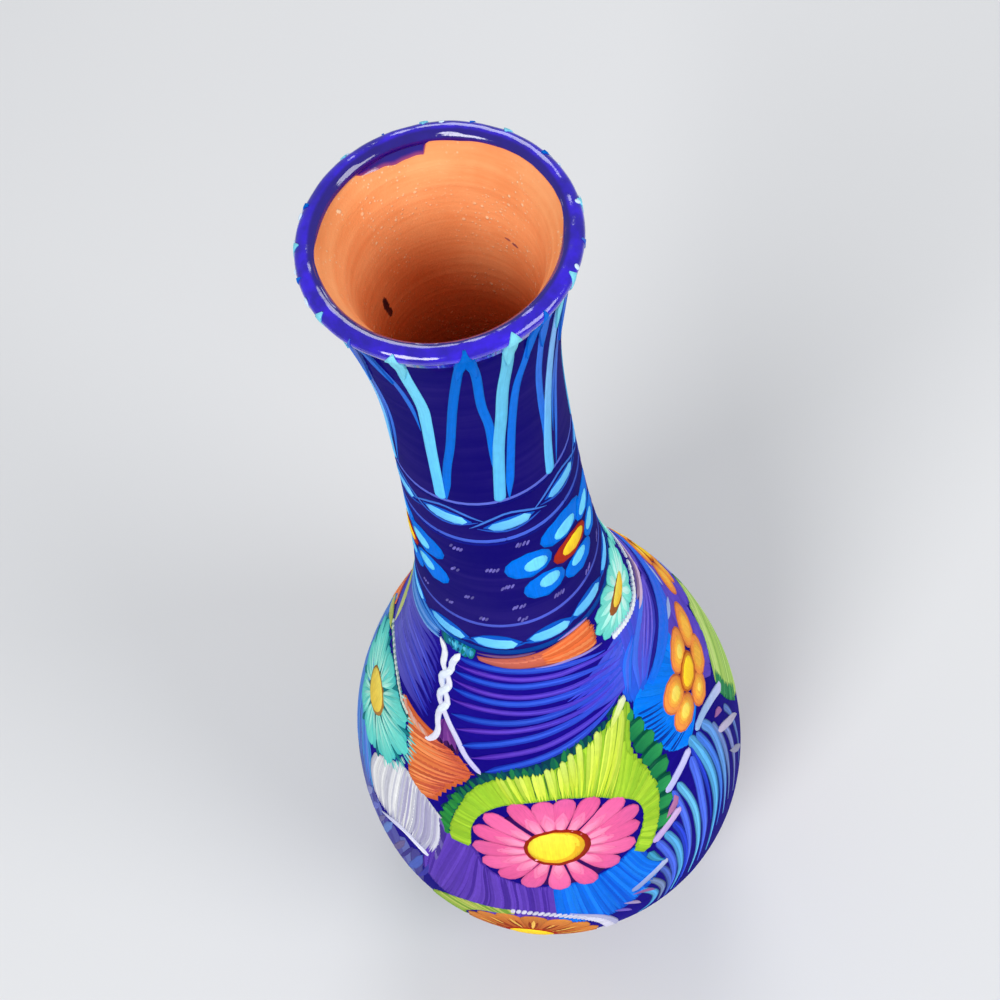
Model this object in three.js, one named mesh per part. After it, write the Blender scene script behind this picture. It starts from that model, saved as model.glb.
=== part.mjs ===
// A slender-necked painted earthenware vase, standing on its foot.
// Sizes are millimetres, +Z is up, the table is at z = 0 and the vase turns about the Z axis.
// The potter's way of building is kept: a slab floor, a foot coil, two belly sections, a neck
// and a lip coil, lapped into each other with slip, then skins of paint laid over the clay.

import * as THREE from 'three';
import { mergeVertices } from 'three/addons/utils/BufferGeometryUtils.js';

// Facets round the axis. Every turned solid uses the same ones, so faces that meet are the same.
const facets = 48;

// Heights of the form, each raised on the one below.
const footHeight = 6;
const flangeThickness = 3;
const slabThickness = 7;
const slabFlangeTop = footHeight + flangeThickness;
const floorTop = footHeight + slabThickness;
const bowlRise = 46;
const shoulderRise = 126;
const neckRise = 80;
const flareRise = 36;
const bellyHeight = footHeight + bowlRise;
const neckBaseHeight = bellyHeight + shoulderRise;
const waistHeight = neckBaseHeight + neckRise;
const mouthSeatHeight = waistHeight + flareRise;

// Radii of the finished surface.
const bellyRadius = 54.8;
const bellyFootRadius = 0.553 * bellyRadius;
const neckBaseRadius = 22;
const waistRadius = 16.7;
const mouthSeatRadius = 20.1;

// Section of the lip coil: half its width and half its height, paint included, and how far its
// middle stands above and outside the neck's edge.
const lipHalfWidth = 1.8;
const lipHalfHeight = 1.4;
const lipRise = 6.4;
const lipOverhang = 0.7;
const lipCentreHeight = mouthSeatHeight + lipRise;
const lipCentreRadius = mouthSeatRadius + lipOverhang;

// Foot coil.
const footSetback = 1.4;
const footWidth = 6.4;
const footOuterRadius = bellyFootRadius - footSetback;
const footInnerRadius = footOuterRadius - footWidth;
const footEase = 0.8;

// Clay and paint.
const bellyWall = 5;
const neckWall = 3.3;
const paint = 0.5;

// Luted lap joints: how far one section stands up inside the next, and the slip between them.
const lapHeight = 6;
const lipLapHeight = 2.4;
const lipLapWidth = 0.6;
const lipLapSlope = 1;
const neckLapWidth = 1.3;
const slip = 0.3;

// Where the belly sections and the neck section meet under the paint.
const neckSeamDrop = 12;
const bellySeamHeight = bellyHeight;
const neckSeamHeight = neckBaseHeight - neckSeamDrop;

// The belly closes to the foot along part of an ellipse of this half height.
const bellyDepth = bowlRise / Math.sqrt(1 - (bellyFootRadius / bellyRadius) ** 2);

// Smooth spans of the finished outline above the widest ring, each a curve of four points
// given as [radius, height]. The middle two steer it and are set as shares of the span.
const shoulderRun = bellyRadius - neckBaseRadius;
const neckRun = neckBaseRadius - waistRadius;
const outline = [
  [
    [bellyRadius, bellyHeight],
    [bellyRadius, bellyHeight + 0.424 * shoulderRise],
    [neckBaseRadius + 0.308 * shoulderRun, neckBaseHeight - 0.402 * shoulderRise],
    [neckBaseRadius, neckBaseHeight],
  ],
  [
    [neckBaseRadius, neckBaseHeight],
    [neckBaseRadius - 0.64 * neckRun, neckBaseHeight + 0.211 * neckRise],
    [waistRadius, waistHeight - 0.154 * neckRise],
    [waistRadius, waistHeight],
  ],
  [
    [waistRadius, waistHeight],
    [waistRadius, waistHeight + 0.167 * flareRise],
    [waistRadius, mouthSeatHeight - 0.611 * flareRise],
    [mouthSeatRadius, mouthSeatHeight],
  ],
];

// One coordinate of a four-point curve at t between 0 and 1.
function curveAt(span, coordinate, t) {
  const s = 1 - t;
  const [a, b, c, d] = span.map((point) => point[coordinate]);
  return s * s * s * a + 3 * t * s * s * b + 3 * t * t * s * c + t * t * t * d;
}

// Radius of the finished surface at a height.
function finishedRadius(height) {
  if (height <= bellyHeight) {
    const below = (bellyHeight - height) / bellyDepth;
    return bellyRadius * Math.sqrt(1 - below * below);
  }
  const span = outline.find((candidate) => height <= candidate[3][1]) ?? outline.at(-1);
  let low = 0;
  let high = 1;
  for (let step = 0; step < 50; step += 1) {
    const middle = (low + high) / 2;
    if (curveAt(span, 1, middle) < height) {
      low = middle;
    } else {
      high = middle;
    }
  }
  return curveAt(span, 0, (low + high) / 2);
}

// Radius of the surface that lies a given depth below the finished one.
function radiusBelow(height, depth) {
  const reach = 0.5;
  const upper = Math.min(height + reach, mouthSeatHeight);
  const lower = upper - 2 * reach;
  const slope = (finishedRadius(upper) - finishedRadius(lower)) / (upper - lower);
  return finishedRadius(height) - depth * Math.hypot(1, slope);
}

// Clay is thickest in the belly and thins up the shoulder to the neck.
function wallAt(height) {
  const up = THREE.MathUtils.smoothstep(height, bellyHeight, neckBaseHeight);
  return THREE.MathUtils.lerp(bellyWall, neckWall, up);
}

function clayOuter(height) {
  return radiusBelow(height, paint);
}

function clayInner(height) {
  return radiusBelow(height, paint + wallAt(height));
}

// Middle of the wall, where one section laps the next.
function lapRadius(height) {
  return (clayOuter(height) + clayInner(height)) / 2;
}

// Heights that share a span out evenly, both ends included.
function shared(from, to, parts) {
  const inner = Array.from({ length: parts }, (_, i) => from + ((to - from) * i) / parts);
  return [...inner, to];
}

// Rings of corners on a wall, joined from span to span with the shared ends kept once.
function stacked(...spans) {
  return [...new Set(spans.flat())];
}

const outerRings = stacked(
  shared(slabFlangeTop, bellySeamHeight, 5),
  shared(bellySeamHeight, neckSeamHeight, 10),
  [neckSeamHeight, neckBaseHeight],
  shared(neckBaseHeight, waistHeight, 5),
  shared(waistHeight, mouthSeatHeight, 4),
);
const innerRings = stacked(
  shared(floorTop, bellySeamHeight, 3),
  shared(bellySeamHeight, neckSeamHeight, 7),
  shared(neckBaseHeight, waistHeight, 4),
  shared(waistHeight, mouthSeatHeight, 3),
);

// Points of a wall on every ring between two heights, at the radius that a rule gives there.
function wallPoints(rings, from, to, radiusAt) {
  const within = rings.filter((height) => height >= from && height <= to);
  return within.map((height) => [radiusAt(height), height]);
}

// Points round the lip coil's section, from under its outside, over the top, to its inside.
const lipAngles = [-62, -32, 0, 30, 60, 90, 120, 150, 180, 205];

function lipPoints(depth, angles) {
  return angles.map((degrees) => {
    const angle = THREE.MathUtils.degToRad(degrees);
    return [
      lipCentreRadius + (lipHalfWidth - depth) * Math.cos(angle),
      lipCentreHeight + (lipHalfHeight - depth) * Math.sin(angle),
    ];
  });
}

// Turns a section about the axis into one closed solid that faces outwards.
function turned(section) {
  const onAxis = section[0][0] === 0;
  const closed = onAxis ? section : [...section, section[0]];
  const lathe = new THREE.LatheGeometry(closed.map(([x, y]) => new THREE.Vector2(x, y)), facets);
  lathe.deleteAttribute('uv');
  lathe.deleteAttribute('normal');
  lathe.rotateX(Math.PI / 2);
  const welded = mergeVertices(lathe, 1e-5);
  const corners = welded.getAttribute('position');
  const index = welded.getIndex().array;
  const kept = [];
  let volume = 0;
  const a = new THREE.Vector3();
  const b = new THREE.Vector3();
  const c = new THREE.Vector3();
  for (let i = 0; i < index.length; i += 3) {
    const [p, q, r] = [index[i], index[i + 1], index[i + 2]];
    if (p !== q && q !== r && r !== p) {
      kept.push(p, q, r);
      a.fromBufferAttribute(corners, p);
      b.fromBufferAttribute(corners, q);
      c.fromBufferAttribute(corners, r);
      volume += a.dot(b.cross(c));
    }
  }
  if (volume < 0) {
    kept.reverse();
  }
  welded.setIndex(kept);
  const solid = welded.toNonIndexed();
  solid.computeVertexNormals();
  return solid;
}

// Finishes.
const bareClay = { color: 0xd07a44, roughness: 0.85, metalness: 0 };
const bellyPaint = { color: 0x241672, roughness: 0.22, metalness: 0 };
const neckPaint = { color: 0x1b1566, roughness: 0.22, metalness: 0 };
const lipPaint = { color: 0x2a12c8, roughness: 0.12, metalness: 0 };

function piece(name, section, finish) {
  const mesh = new THREE.Mesh(turned(section), new THREE.MeshStandardMaterial(finish));
  mesh.name = name;
  return mesh;
}

// Foot coil, turned true, with eased edges on the table.
const footTopRadius = clayOuter(footHeight);
const footCoil = [
  [footInnerRadius + footEase, 0],
  [footOuterRadius - footEase, 0],
  [footOuterRadius, footEase],
  [footTopRadius, footHeight],
  [footInnerRadius, footHeight],
  [footInnerRadius, footEase],
];

// Floor slab: a flange that carries the belly wall, and a plug that stands up inside it.
const plugRadius = clayInner(floorTop) - slip;
const floorSlab = [
  [0, footHeight],
  [footTopRadius, footHeight],
  [clayOuter(slabFlangeTop), slabFlangeTop],
  [plugRadius, slabFlangeTop],
  [plugRadius, floorTop],
  [0, floorTop],
];

// Lower belly: stands on the slab's flange, and its inner half rises into the upper belly.
const bellyLapRadius = lapRadius(bellySeamHeight);
const lowerBelly = [
  [plugRadius + slip, slabFlangeTop],
  ...wallPoints(outerRings, slabFlangeTop, bellySeamHeight, clayOuter),
  [bellyLapRadius, bellySeamHeight],
  [bellyLapRadius, bellySeamHeight + lapHeight],
  [clayInner(bellySeamHeight), bellySeamHeight + lapHeight],
  ...wallPoints(innerRings, floorTop, bellySeamHeight, clayInner).reverse(),
];

// Upper belly: laps over the lower one and closes in over the shoulder. The inner half of its
// top edge rises into the neck.
const neckLapRadius = lapRadius(neckSeamHeight);
const neckTongueRadius = clayInner(neckSeamHeight + lapHeight);
const upperBelly = [
  [bellyLapRadius + slip, bellySeamHeight],
  ...wallPoints(outerRings, bellySeamHeight, neckSeamHeight, clayOuter),
  [neckLapRadius, neckSeamHeight],
  [neckTongueRadius + neckLapWidth, neckSeamHeight + lapHeight],
  [neckTongueRadius, neckSeamHeight + lapHeight],
  ...wallPoints(innerRings, bellySeamHeight + lapHeight + slip, neckSeamHeight, clayInner).reverse(),
  [clayInner(bellySeamHeight + lapHeight), bellySeamHeight + lapHeight + slip],
  [bellyLapRadius + slip, bellySeamHeight + lapHeight + slip],
];

// Neck: drawn in to the waist and flared to the mouth. Its top edge has a spigot for the lip.
const lipLapRadius = lapRadius(mouthSeatHeight);
const neck = [
  [neckLapRadius + slip, neckSeamHeight],
  ...wallPoints(outerRings, neckSeamHeight, mouthSeatHeight, clayOuter),
  [lipLapRadius, mouthSeatHeight],
  [lipLapRadius + lipLapWidth, mouthSeatHeight + lipLapHeight],
  [clayInner(mouthSeatHeight) + lipLapSlope, mouthSeatHeight + lipLapHeight],
  ...wallPoints(innerRings, neckSeamHeight + lapHeight + slip, mouthSeatHeight, clayInner).reverse(),
  [neckTongueRadius, neckSeamHeight + lapHeight + slip],
  [neckTongueRadius + neckLapWidth + slip, neckSeamHeight + lapHeight + slip],
];

// Lip coil: a rolled ring that sits on the neck's edge and laps its spigot.
const lipCoil = [
  [lipLapRadius + slip, mouthSeatHeight],
  [clayOuter(mouthSeatHeight), mouthSeatHeight],
  ...lipPoints(paint, lipAngles),
  [clayInner(mouthSeatHeight) + lipLapSlope, mouthSeatHeight + lipLapHeight + slip],
  [lipLapRadius + lipLapWidth + slip, mouthSeatHeight + lipLapHeight + slip],
];

// A skin of paint between a wall's clay and its finished surface.
function skin(from, to) {
  return [
    ...wallPoints(outerRings, from, to, finishedRadius),
    ...wallPoints(outerRings, from, to, clayOuter).reverse(),
  ];
}

// The lip's enamel runs over the coil and laps a little way down inside the mouth.
const lipEnamel = [
  [mouthSeatRadius, mouthSeatHeight],
  ...lipPoints(0, lipAngles),
  ...lipPoints(paint, lipAngles).reverse(),
  [clayOuter(mouthSeatHeight), mouthSeatHeight],
];

const vase = new THREE.Group();
vase.name = 'painted_vase';
vase.add(
  piece('foot_coil', footCoil, bareClay),
  piece('floor_slab', floorSlab, bareClay),
  piece('lower_belly', lowerBelly, bareClay),
  piece('upper_belly', upperBelly, bareClay),
  piece('neck', neck, bareClay),
  piece('lip_coil', lipCoil, bareClay),
  piece('belly_paint', skin(slabFlangeTop, neckBaseHeight), bellyPaint),
  piece('neck_paint', skin(neckBaseHeight, mouthSeatHeight), neckPaint),
  piece('lip_enamel', lipEnamel, lipPaint),
);

export default vase;
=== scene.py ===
"""Looks of a slender-necked earthenware vase, painted all over with folk flowers.

The clay sections and coats of paint follow the solids' own sections, turned finely. Every brush
stroke is a low ridge of paint with its own body, laid on the vase by azimuth and by the length
along its side. Azimuth is in degrees, 0 towards the viewer and positive to the right. Sizes are
millimetres until a mesh is made, and metres from there on. Colours are written as seen on a
screen, 0xRRGGBB.
"""
import logging
import math
from dataclasses import dataclass
from enum import Enum, IntEnum
from typing import Callable, Sequence

import bpy
import numpy as np
from mathutils import Matrix, Vector


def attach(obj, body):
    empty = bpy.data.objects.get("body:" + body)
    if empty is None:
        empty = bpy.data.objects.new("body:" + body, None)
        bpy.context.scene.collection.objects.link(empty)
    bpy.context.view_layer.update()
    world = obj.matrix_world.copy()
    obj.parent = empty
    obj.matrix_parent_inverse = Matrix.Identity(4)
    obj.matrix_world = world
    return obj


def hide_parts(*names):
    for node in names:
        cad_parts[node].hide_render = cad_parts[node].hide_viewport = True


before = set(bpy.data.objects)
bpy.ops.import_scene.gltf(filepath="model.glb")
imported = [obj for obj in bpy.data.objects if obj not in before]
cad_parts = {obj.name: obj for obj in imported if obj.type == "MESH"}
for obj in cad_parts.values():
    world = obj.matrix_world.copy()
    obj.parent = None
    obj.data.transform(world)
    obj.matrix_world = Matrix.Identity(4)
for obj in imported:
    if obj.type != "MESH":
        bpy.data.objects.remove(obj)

LOG = logging.getLogger("vase")
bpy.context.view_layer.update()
MM = 0.001
Point = tuple[float, float]
Triple = tuple[float, float, float]
Colour = int | Triple


def linear(colour: Colour) -> Triple:
    """Returns a colour's linear values. A code 0xRRGGBB is one as seen on a screen."""
    if not isinstance(colour, int):
        return colour
    parts = [(colour >> shift & 255) / 255 for shift in (16, 8, 0)]
    return tuple(p / 12.92 if p <= 0.04045 else ((p + 0.055) / 1.055) ** 2.4 for p in parts)


def toned(colour: Colour, factor: float) -> Triple:
    """Returns a colour made darker or lighter."""
    return tuple(min(1.0, factor * part) for part in linear(colour))


def deselect_all() -> None:
    """Leaves object mode with nothing selected."""
    if bpy.context.mode != "OBJECT":
        bpy.ops.object.mode_set(mode="OBJECT")
    bpy.ops.object.select_all(action="DESELECT")


@dataclass(frozen=True)
class VaseForm:
    """The finished outline of the vase, as the solids have it."""

    foot: float = 6.0
    belly: float = 52.0
    neck_base: float = 178.0
    waist: float = 258.0
    seat: float = 294.0
    lip: float = 300.4
    belly_radius: float = 54.8
    belly_depth: float = 55.2
    neck_radius: float = 22.0
    waist_radius: float = 16.7
    seat_radius: float = 20.1
    lip_radius: float = 20.8
    lip_width: float = 1.8
    lip_height: float = 1.4
    skirt_angle: float = -62.0
    belly_pull: float = 0.424
    shoulder_in: float = 0.308
    shoulder_drop: float = 0.402
    neck_in: float = 0.64
    neck_rise: float = 0.211
    waist_drop: float = 0.154
    waist_rise: float = 0.167
    flare_drop: float = 0.611

    def lip_arc(self, depth: float, first: float, last: float, step: float) -> list[Point]:
        """Returns points round the lip's section.

        Args:
            depth: Distance below its surface.
            first: Degrees at which the points start, 0 outside and 90 on top.
            last: Degrees at which they end.
            step: Degrees between them.

        Returns:
            The (radius, height) points.
        """
        angles = np.radians(np.linspace(first, last, round((last - first) / step) + 1))
        reach = self.lip_radius + (self.lip_width - depth) * np.cos(angles)
        rise = self.lip + (self.lip_height - depth) * np.sin(angles)
        return list(zip(reach.tolist(), rise.tolist()))

    def spans(self) -> list[list[Point]]:
        """Returns the curves above the widest ring, each four (radius, height) points."""
        rise = self.neck_base - self.belly
        run = self.belly_radius - self.neck_radius
        neck = self.waist - self.neck_base
        drop = self.neck_radius - self.waist_radius
        flare = self.seat - self.waist
        return [
            [(self.belly_radius, self.belly),
             (self.belly_radius, self.belly + self.belly_pull * rise),
             (self.neck_radius + self.shoulder_in * run, self.neck_base - self.shoulder_drop * rise),
             (self.neck_radius, self.neck_base)],
            [(self.neck_radius, self.neck_base),
             (self.neck_radius - self.neck_in * drop, self.neck_base + self.neck_rise * neck),
             (self.waist_radius, self.waist - self.waist_drop * neck),
             (self.waist_radius, self.waist)],
            [(self.waist_radius, self.waist),
             (self.waist_radius, self.waist + self.waist_rise * flare),
             (self.waist_radius, self.seat - self.flare_drop * flare),
             (self.seat_radius, self.seat)],
        ]


class VaseSkin:
    """The finished surface, addressed by azimuth and by length along the side from the table."""

    def __init__(self, form: VaseForm) -> None:
        """Tabulates the outline.

        Args:
            form: The outline's sizes.
        """
        self.form = form
        low = np.linspace(0, form.belly, 521)
        radius = [form.belly_radius * np.sqrt(1 - ((form.belly - low) / form.belly_depth) ** 2)]
        height = [low]
        t = np.linspace(0, 1, 501)[1:]
        s = 1 - t
        for a, b, c, d in form.spans():
            for store, i in ((radius, 0), (height, 1)):
                store.append(s ** 3 * a[i] + 3 * s * s * t * b[i] + 3 * s * t * t * c[i] + t ** 3 * d[i])
        skirt = form.lip_arc(0, form.skirt_angle, 64, 3)
        rise = np.linspace(form.seat, skirt[0][1], 40)[1:-1]
        radius += [np.interp(rise, [form.seat, skirt[0][1]], [form.seat_radius, skirt[0][0]]),
                   np.array(skirt)[:, 0]]
        height += [rise, np.array(skirt)[:, 1]]
        self.r = np.concatenate(radius)
        self.z = np.concatenate(height)
        self.s = np.concatenate([[0], np.cumsum(np.hypot(np.diff(self.r), np.diff(self.z)))])
        self.nr = np.gradient(self.z, self.s)
        self.nz = -np.gradient(self.r, self.s)

    def radius(self, side: np.ndarray) -> np.ndarray:
        """Returns the radius at lengths along the side."""
        return np.interp(side, self.s, self.r)

    def side_at(self, height: float) -> float:
        """Returns the length along the side at a height."""
        return float(np.interp(height, self.z, self.s))

    def place(self, azimuth: np.ndarray, side: np.ndarray, lift: np.ndarray) -> np.ndarray:
        """Puts points on or near the surface.

        Args:
            azimuth: Degrees about the axis.
            side: Lengths along the side.
            lift: Distances out from the finished surface.

        Returns:
            Points in millimetres, one row each.
        """
        turn = np.radians(azimuth)
        reach = self.radius(side) + lift * np.interp(side, self.s, self.nr)
        rise = np.interp(side, self.s, self.z) + lift * np.interp(side, self.s, self.nz)
        return np.stack([reach * np.sin(turn), -reach * np.cos(turn), rise], axis=1)

    def beside(self, centre: Point, x: float, y: float) -> Point:
        """Returns the surface address x millimetres to the right of a centre and y above it."""
        side = centre[1] + y
        return centre[0] + math.degrees(x / float(self.radius(side))), side

    def wall(self, low: float, high: float, depth: float, step: float = 2.0) -> list[Point]:
        """Returns (radius, height) points between two heights, a depth below the surface."""
        sides = np.linspace(self.side_at(low), self.side_at(high), max(2, int((high - low) / step)))
        across = self.radius(sides) - depth * np.interp(sides, self.s, self.nr)
        up = np.interp(sides, self.s, self.z) - depth * np.interp(sides, self.s, self.nz)
        up[0], up[-1] = low, high
        return list(zip(across.tolist(), up.tolist()))


class Link:
    """A node output that can be used in Python sums."""

    def __init__(self, graph: "Graph", socket: bpy.types.NodeSocket) -> None:
        """Keeps the socket and the graph that it belongs to."""
        self.graph = graph
        self.socket = socket

    def _sum(self, operation: str, first: object, second: object) -> "Link":
        """Adds one Math node and returns its result."""
        return self.graph.add("ShaderNodeMath", {0: first, 1: second}, operation=operation)

    def __add__(self, other: object) -> "Link":
        """Adds."""
        return self._sum("ADD", self, other)

    __radd__ = __add__

    def __sub__(self, other: object) -> "Link":
        """Subtracts."""
        return self._sum("SUBTRACT", self, other)

    def __rsub__(self, other: object) -> "Link":
        """Subtracts from."""
        return self._sum("SUBTRACT", other, self)

    def __mul__(self, other: object) -> "Link":
        """Multiplies."""
        return self._sum("MULTIPLY", self, other)

    def ramp(self, low: float, high: float) -> "Link":
        """Returns 0 below low, 1 above high, and a smooth step between."""
        return self.graph.add("ShaderNodeMapRange", {0: self, 1: low, 2: high},
                              interpolation_type="SMOOTHSTEP")


class Graph:
    """Builds one material's nodes."""

    def __init__(self, name: str) -> None:
        """Starts a material with one Principled shader.

        Args:
            name: The material's name.
        """
        self.material = bpy.data.materials.new(name)
        self.material.use_nodes = True
        self.nodes = self.material.node_tree.nodes
        self.links = self.material.node_tree.links
        self.shader = self.nodes["Principled BSDF"]

    def feed(self, socket: bpy.types.NodeSocket, value: object) -> None:
        """Links or sets one input."""
        if isinstance(value, Link):
            self.links.new(value.socket, socket)
        else:
            socket.default_value = value

    def add(self, kind: str, inputs: dict | None = None, output: int | str = 0,
            **settings: object) -> Link:
        """Adds a node.

        Args:
            kind: The node's type.
            inputs: Values or links by socket name or number.
            output: The output to return.
            **settings: Properties set on the node first.

        Returns:
            The chosen output.
        """
        node = self.nodes.new(kind)
        for key, value in settings.items():
            setattr(node, key, value)
        for key, value in (inputs or {}).items():
            self.feed(node.inputs[key], value)
        return Link(self, node.outputs[output])

    def noise(self, vector: Link, scale: float, detail: float = 2.0, roughness: float = 0.5) -> Link:
        """Adds a noise texture and returns its value."""
        return self.add("ShaderNodeTexNoise", {"Vector": vector, "Scale": scale, "Detail": detail,
                                               "Roughness": roughness})

    def mix(self, share: object, first: object, second: object, blend: str = "MIX") -> Link:
        """Mixes two colours."""
        return self.add("ShaderNodeMix", {0: share, 6: first, 7: second}, output=2,
                        data_type="RGBA", blend_type=blend)

    def scaled(self, vector: Link, factors: Triple) -> Link:
        """Multiplies a vector by three numbers."""
        return self.add("ShaderNodeVectorMath", {0: vector, 1: factors}, operation="MULTIPLY")

    def bump(self, height: Link, depth: float, strength: float = 1.0) -> None:
        """Feeds the shader's normal from a height."""
        normal = self.add("ShaderNodeBump", {"Height": height, "Distance": depth, "Strength": strength})
        self.feed(self.shader.inputs["Normal"], normal)

    def finish(self, colour: object, roughness: object, **fixed: float) -> bpy.types.Material:
        """Sets the shader's main inputs.

        Args:
            colour: Base colour, a link or four numbers.
            roughness: A link or a number.
            **fixed: Other sockets by name, with _ for a space.

        Returns:
            The material.
        """
        self.feed(self.shader.inputs["Base Color"], colour)
        self.feed(self.shader.inputs["Roughness"], roughness)
        for key, value in fixed.items():
            self.shader.inputs[key.replace("_", " ")].default_value = value
        return self.material


def rgba(colour: Colour) -> tuple[float, float, float, float]:
    """Returns a colour with full alpha."""
    return (*linear(colour), 1.0)


@dataclass(frozen=True)
class BrushPaint:
    """Enamel laid with a hair brush: its colour comes with each stroke."""

    name: str = "brushed_enamel"
    gloss: float = 0.3

    def material(self) -> bpy.types.Material:
        """Returns the material."""
        g = Graph(self.name)
        colour = g.add("ShaderNodeAttribute", attribute_name="paint", attribute_type="GEOMETRY")
        place = g.add("ShaderNodeAttribute", output="Vector", attribute_name="stroke",
                      attribute_type="GEOMETRY")
        hair = g.noise(g.scaled(place, (0.11, 3.4, 1.0)), 1.0, 3.0, 0.6)
        pool = g.noise(g.scaled(place, (0.5, 0.9, 1.0)), 1.0, 2.0)
        light = (hair - 0.5) * 0.42 + (pool - 0.5) * 0.26 + 1.0
        grey = g.add("ShaderNodeCombineColor", {0: light, 1: light, 2: light})
        shade = g.mix(1.0, colour, grey, "MULTIPLY")
        g.bump(hair * 0.7 + pool * 0.3, 0.00012, 0.5)
        return g.finish(shade, 0.22 + hair * self.gloss, Specular_IOR_Level=0.0, Coat_Weight=0.06,
                        Coat_Roughness=0.06)


@dataclass(frozen=True)
class GroundPaint:
    """The dark ground brushed round the vase under the ornament."""

    name: str
    deep: Colour
    light: Colour

    def material(self) -> bpy.types.Material:
        """Returns the material."""
        g = Graph(self.name)
        where = g.add("ShaderNodeTexCoord", output="Object")
        cloud = g.noise(where, 34.0, 3.0)
        band = g.noise(g.scaled(where, (24.0, 24.0, 420.0)), 1.0, 3.0, 0.6)
        share = (cloud * 0.7 + band * 0.5).ramp(0.45, 0.85)
        colour = g.mix(share, rgba(self.deep), rgba(self.light))
        g.bump(band, 0.00008, 0.4)
        return g.finish(colour, 0.2 + band * 0.12, Specular_IOR_Level=0.0, Coat_Weight=0.05,
                        Coat_Roughness=0.05)


@dataclass(frozen=True)
class LipEnamel:
    """Thick cobalt enamel that pooled on the lip and thins to a rosy edge on the clay. The lip's inner
    slope, past the crest, is painted darker, a painted shade.
    """

    name: str = "lip_enamel_blue"
    deep: Colour = 0x1E04A0
    full: Colour = 0x320CDE
    edge: Colour = 0x963A76

    def material(self) -> bpy.types.Material:
        """Returns the material."""
        g = Graph(self.name)
        where = g.add("ShaderNodeTexCoord", output="Object")
        pool = g.noise(g.scaled(where, (1.0, 1.0, 2.2)), 260.0, 3.0, 0.6)
        fine = g.noise(where, 900.0, 2.0)
        lap = g.add("ShaderNodeAttribute", output="Fac", attribute_name="lap", attribute_type="GEOMETRY")
        colour = g.mix(pool.ramp(0.3, 0.75), rgba(self.deep), rgba(self.full))
        # Painted shade: where the lap share is negative, on the inner slope past the crest, the enamel
        # is darkened towards deep navy.
        colour = g.mix(lap.ramp(-0.36, -0.16) * 0.85, colour, rgba(0x180270))
        colour = g.mix(lap.ramp(0.93, 1.0), colour, rgba(self.edge))
        g.bump(pool * 0.85 + fine * 0.15, 0.0005, 0.35)
        return g.finish(colour, 0.08 + fine * 0.08, Specular_IOR_Level=0.4, Coat_Weight=0.9,
                        Coat_Roughness=0.03)


@dataclass(frozen=True)
class BareClay:
    """Low-fired orange clay, wiped round with a wet rag, with pale grit in it. Deeper inside the mouth
    it is painted darker, a painted shade.
    """

    name: str = "bare_orange_clay"
    base: Colour = 0xF8A468
    pale: Colour = 0xFCB87E
    dark: Colour = 0xE6884C
    # depth: painted shade, the red-brown that the clay is darkened to deep inside the mouth.
    depth: Colour = 0xBE541E
    grit: Colour = 0xFFE2B8
    marks: tuple[tuple[Triple, Triple, Colour], ...] = (
        ((-0.0113, 0.0079, 0.2747), (900.0, 1300.0, 420.0), 0x46242E),
        ((-0.0111, 0.0081, 0.2722), (1000.0, 1400.0, 800.0), 0x5C3034),
        ((0.0122, 0.0082, 0.2829), (900.0, 1300.0, 3000.0), 0x96545C),
        ((0.0112, 0.0095, 0.2832), (1100.0, 1500.0, 3600.0), 0xA66460))

    def material(self) -> bpy.types.Material:
        """Returns the material."""
        g = Graph(self.name)
        where = g.add("ShaderNodeTexCoord", output="Object")
        cloud = g.noise(where, 70.0, 4.0, 0.6)
        wiping = g.noise(g.scaled(where, (40.0, 40.0, 900.0)), 1.0, 3.0, 0.65)
        grain = g.noise(where, 2600.0, 2.0)
        colour = g.mix((cloud * 0.8 + wiping * 0.5).ramp(0.42, 0.9), rgba(self.dark), rgba(self.pale))
        colour = g.mix(0.45, colour, rgba(self.base))
        # Painted shade: below 0.286 m inside the mouth the colour darkens towards the depth colour, most
        # of the way by 0.235 m.
        height = g.add("ShaderNodeSeparateXYZ", {0: where}, output=2)
        colour = g.mix(height.ramp(0.286, 0.235) * 0.75, colour, rgba(self.depth))
        coarse = g.add("ShaderNodeTexVoronoi", {"Vector": where, "Scale": 520.0, "Randomness": 1.0})
        fine = g.add("ShaderNodeTexVoronoi", {"Vector": where, "Scale": 1150.0, "Randomness": 1.0})
        gather = g.noise(where, 110.0, 3.0)
        speck = ((1.0 - coarse.ramp(0.1, 0.22)) * gather.ramp(0.5, 0.62)
                 + (1.0 - fine.ramp(0.12, 0.3)) * gather.ramp(0.42, 0.6) * 0.7)
        colour = g.mix(speck * 0.75, colour, rgba(self.grit))
        for centre, spread, tone in self.marks:
            gap = g.add("ShaderNodeVectorMath", {0: where, 1: centre}, operation="SUBTRACT")
            size = g.add("ShaderNodeVectorMath", {0: g.scaled(gap, spread)}, output="Value",
                         operation="LENGTH")
            colour = g.mix((size + (grain - 0.5) * 0.5).ramp(1.05, 0.7), colour, rgba(tone))
        g.bump(wiping * 0.5 + grain * 0.25 + speck * 0.5, 0.0004, 0.6)
        return g.finish(colour, 0.62 + grain * 0.25, Specular_IOR_Level=0.2)


@dataclass(frozen=True)
class PlainFloor:
    """The pale floor."""

    name: str = "pale_floor"
    colour: Colour = 0xE2E2E2

    def material(self) -> bpy.types.Material:
        """Returns the material."""
        g = Graph(self.name)
        where = g.add("ShaderNodeTexCoord", output="Object")
        cloud = g.noise(where, 3.0, 2.0)
        colour = g.mix(cloud, rgba(self.colour), rgba(0xDCDDDF))
        return g.finish(colour, 0.55)


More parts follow.
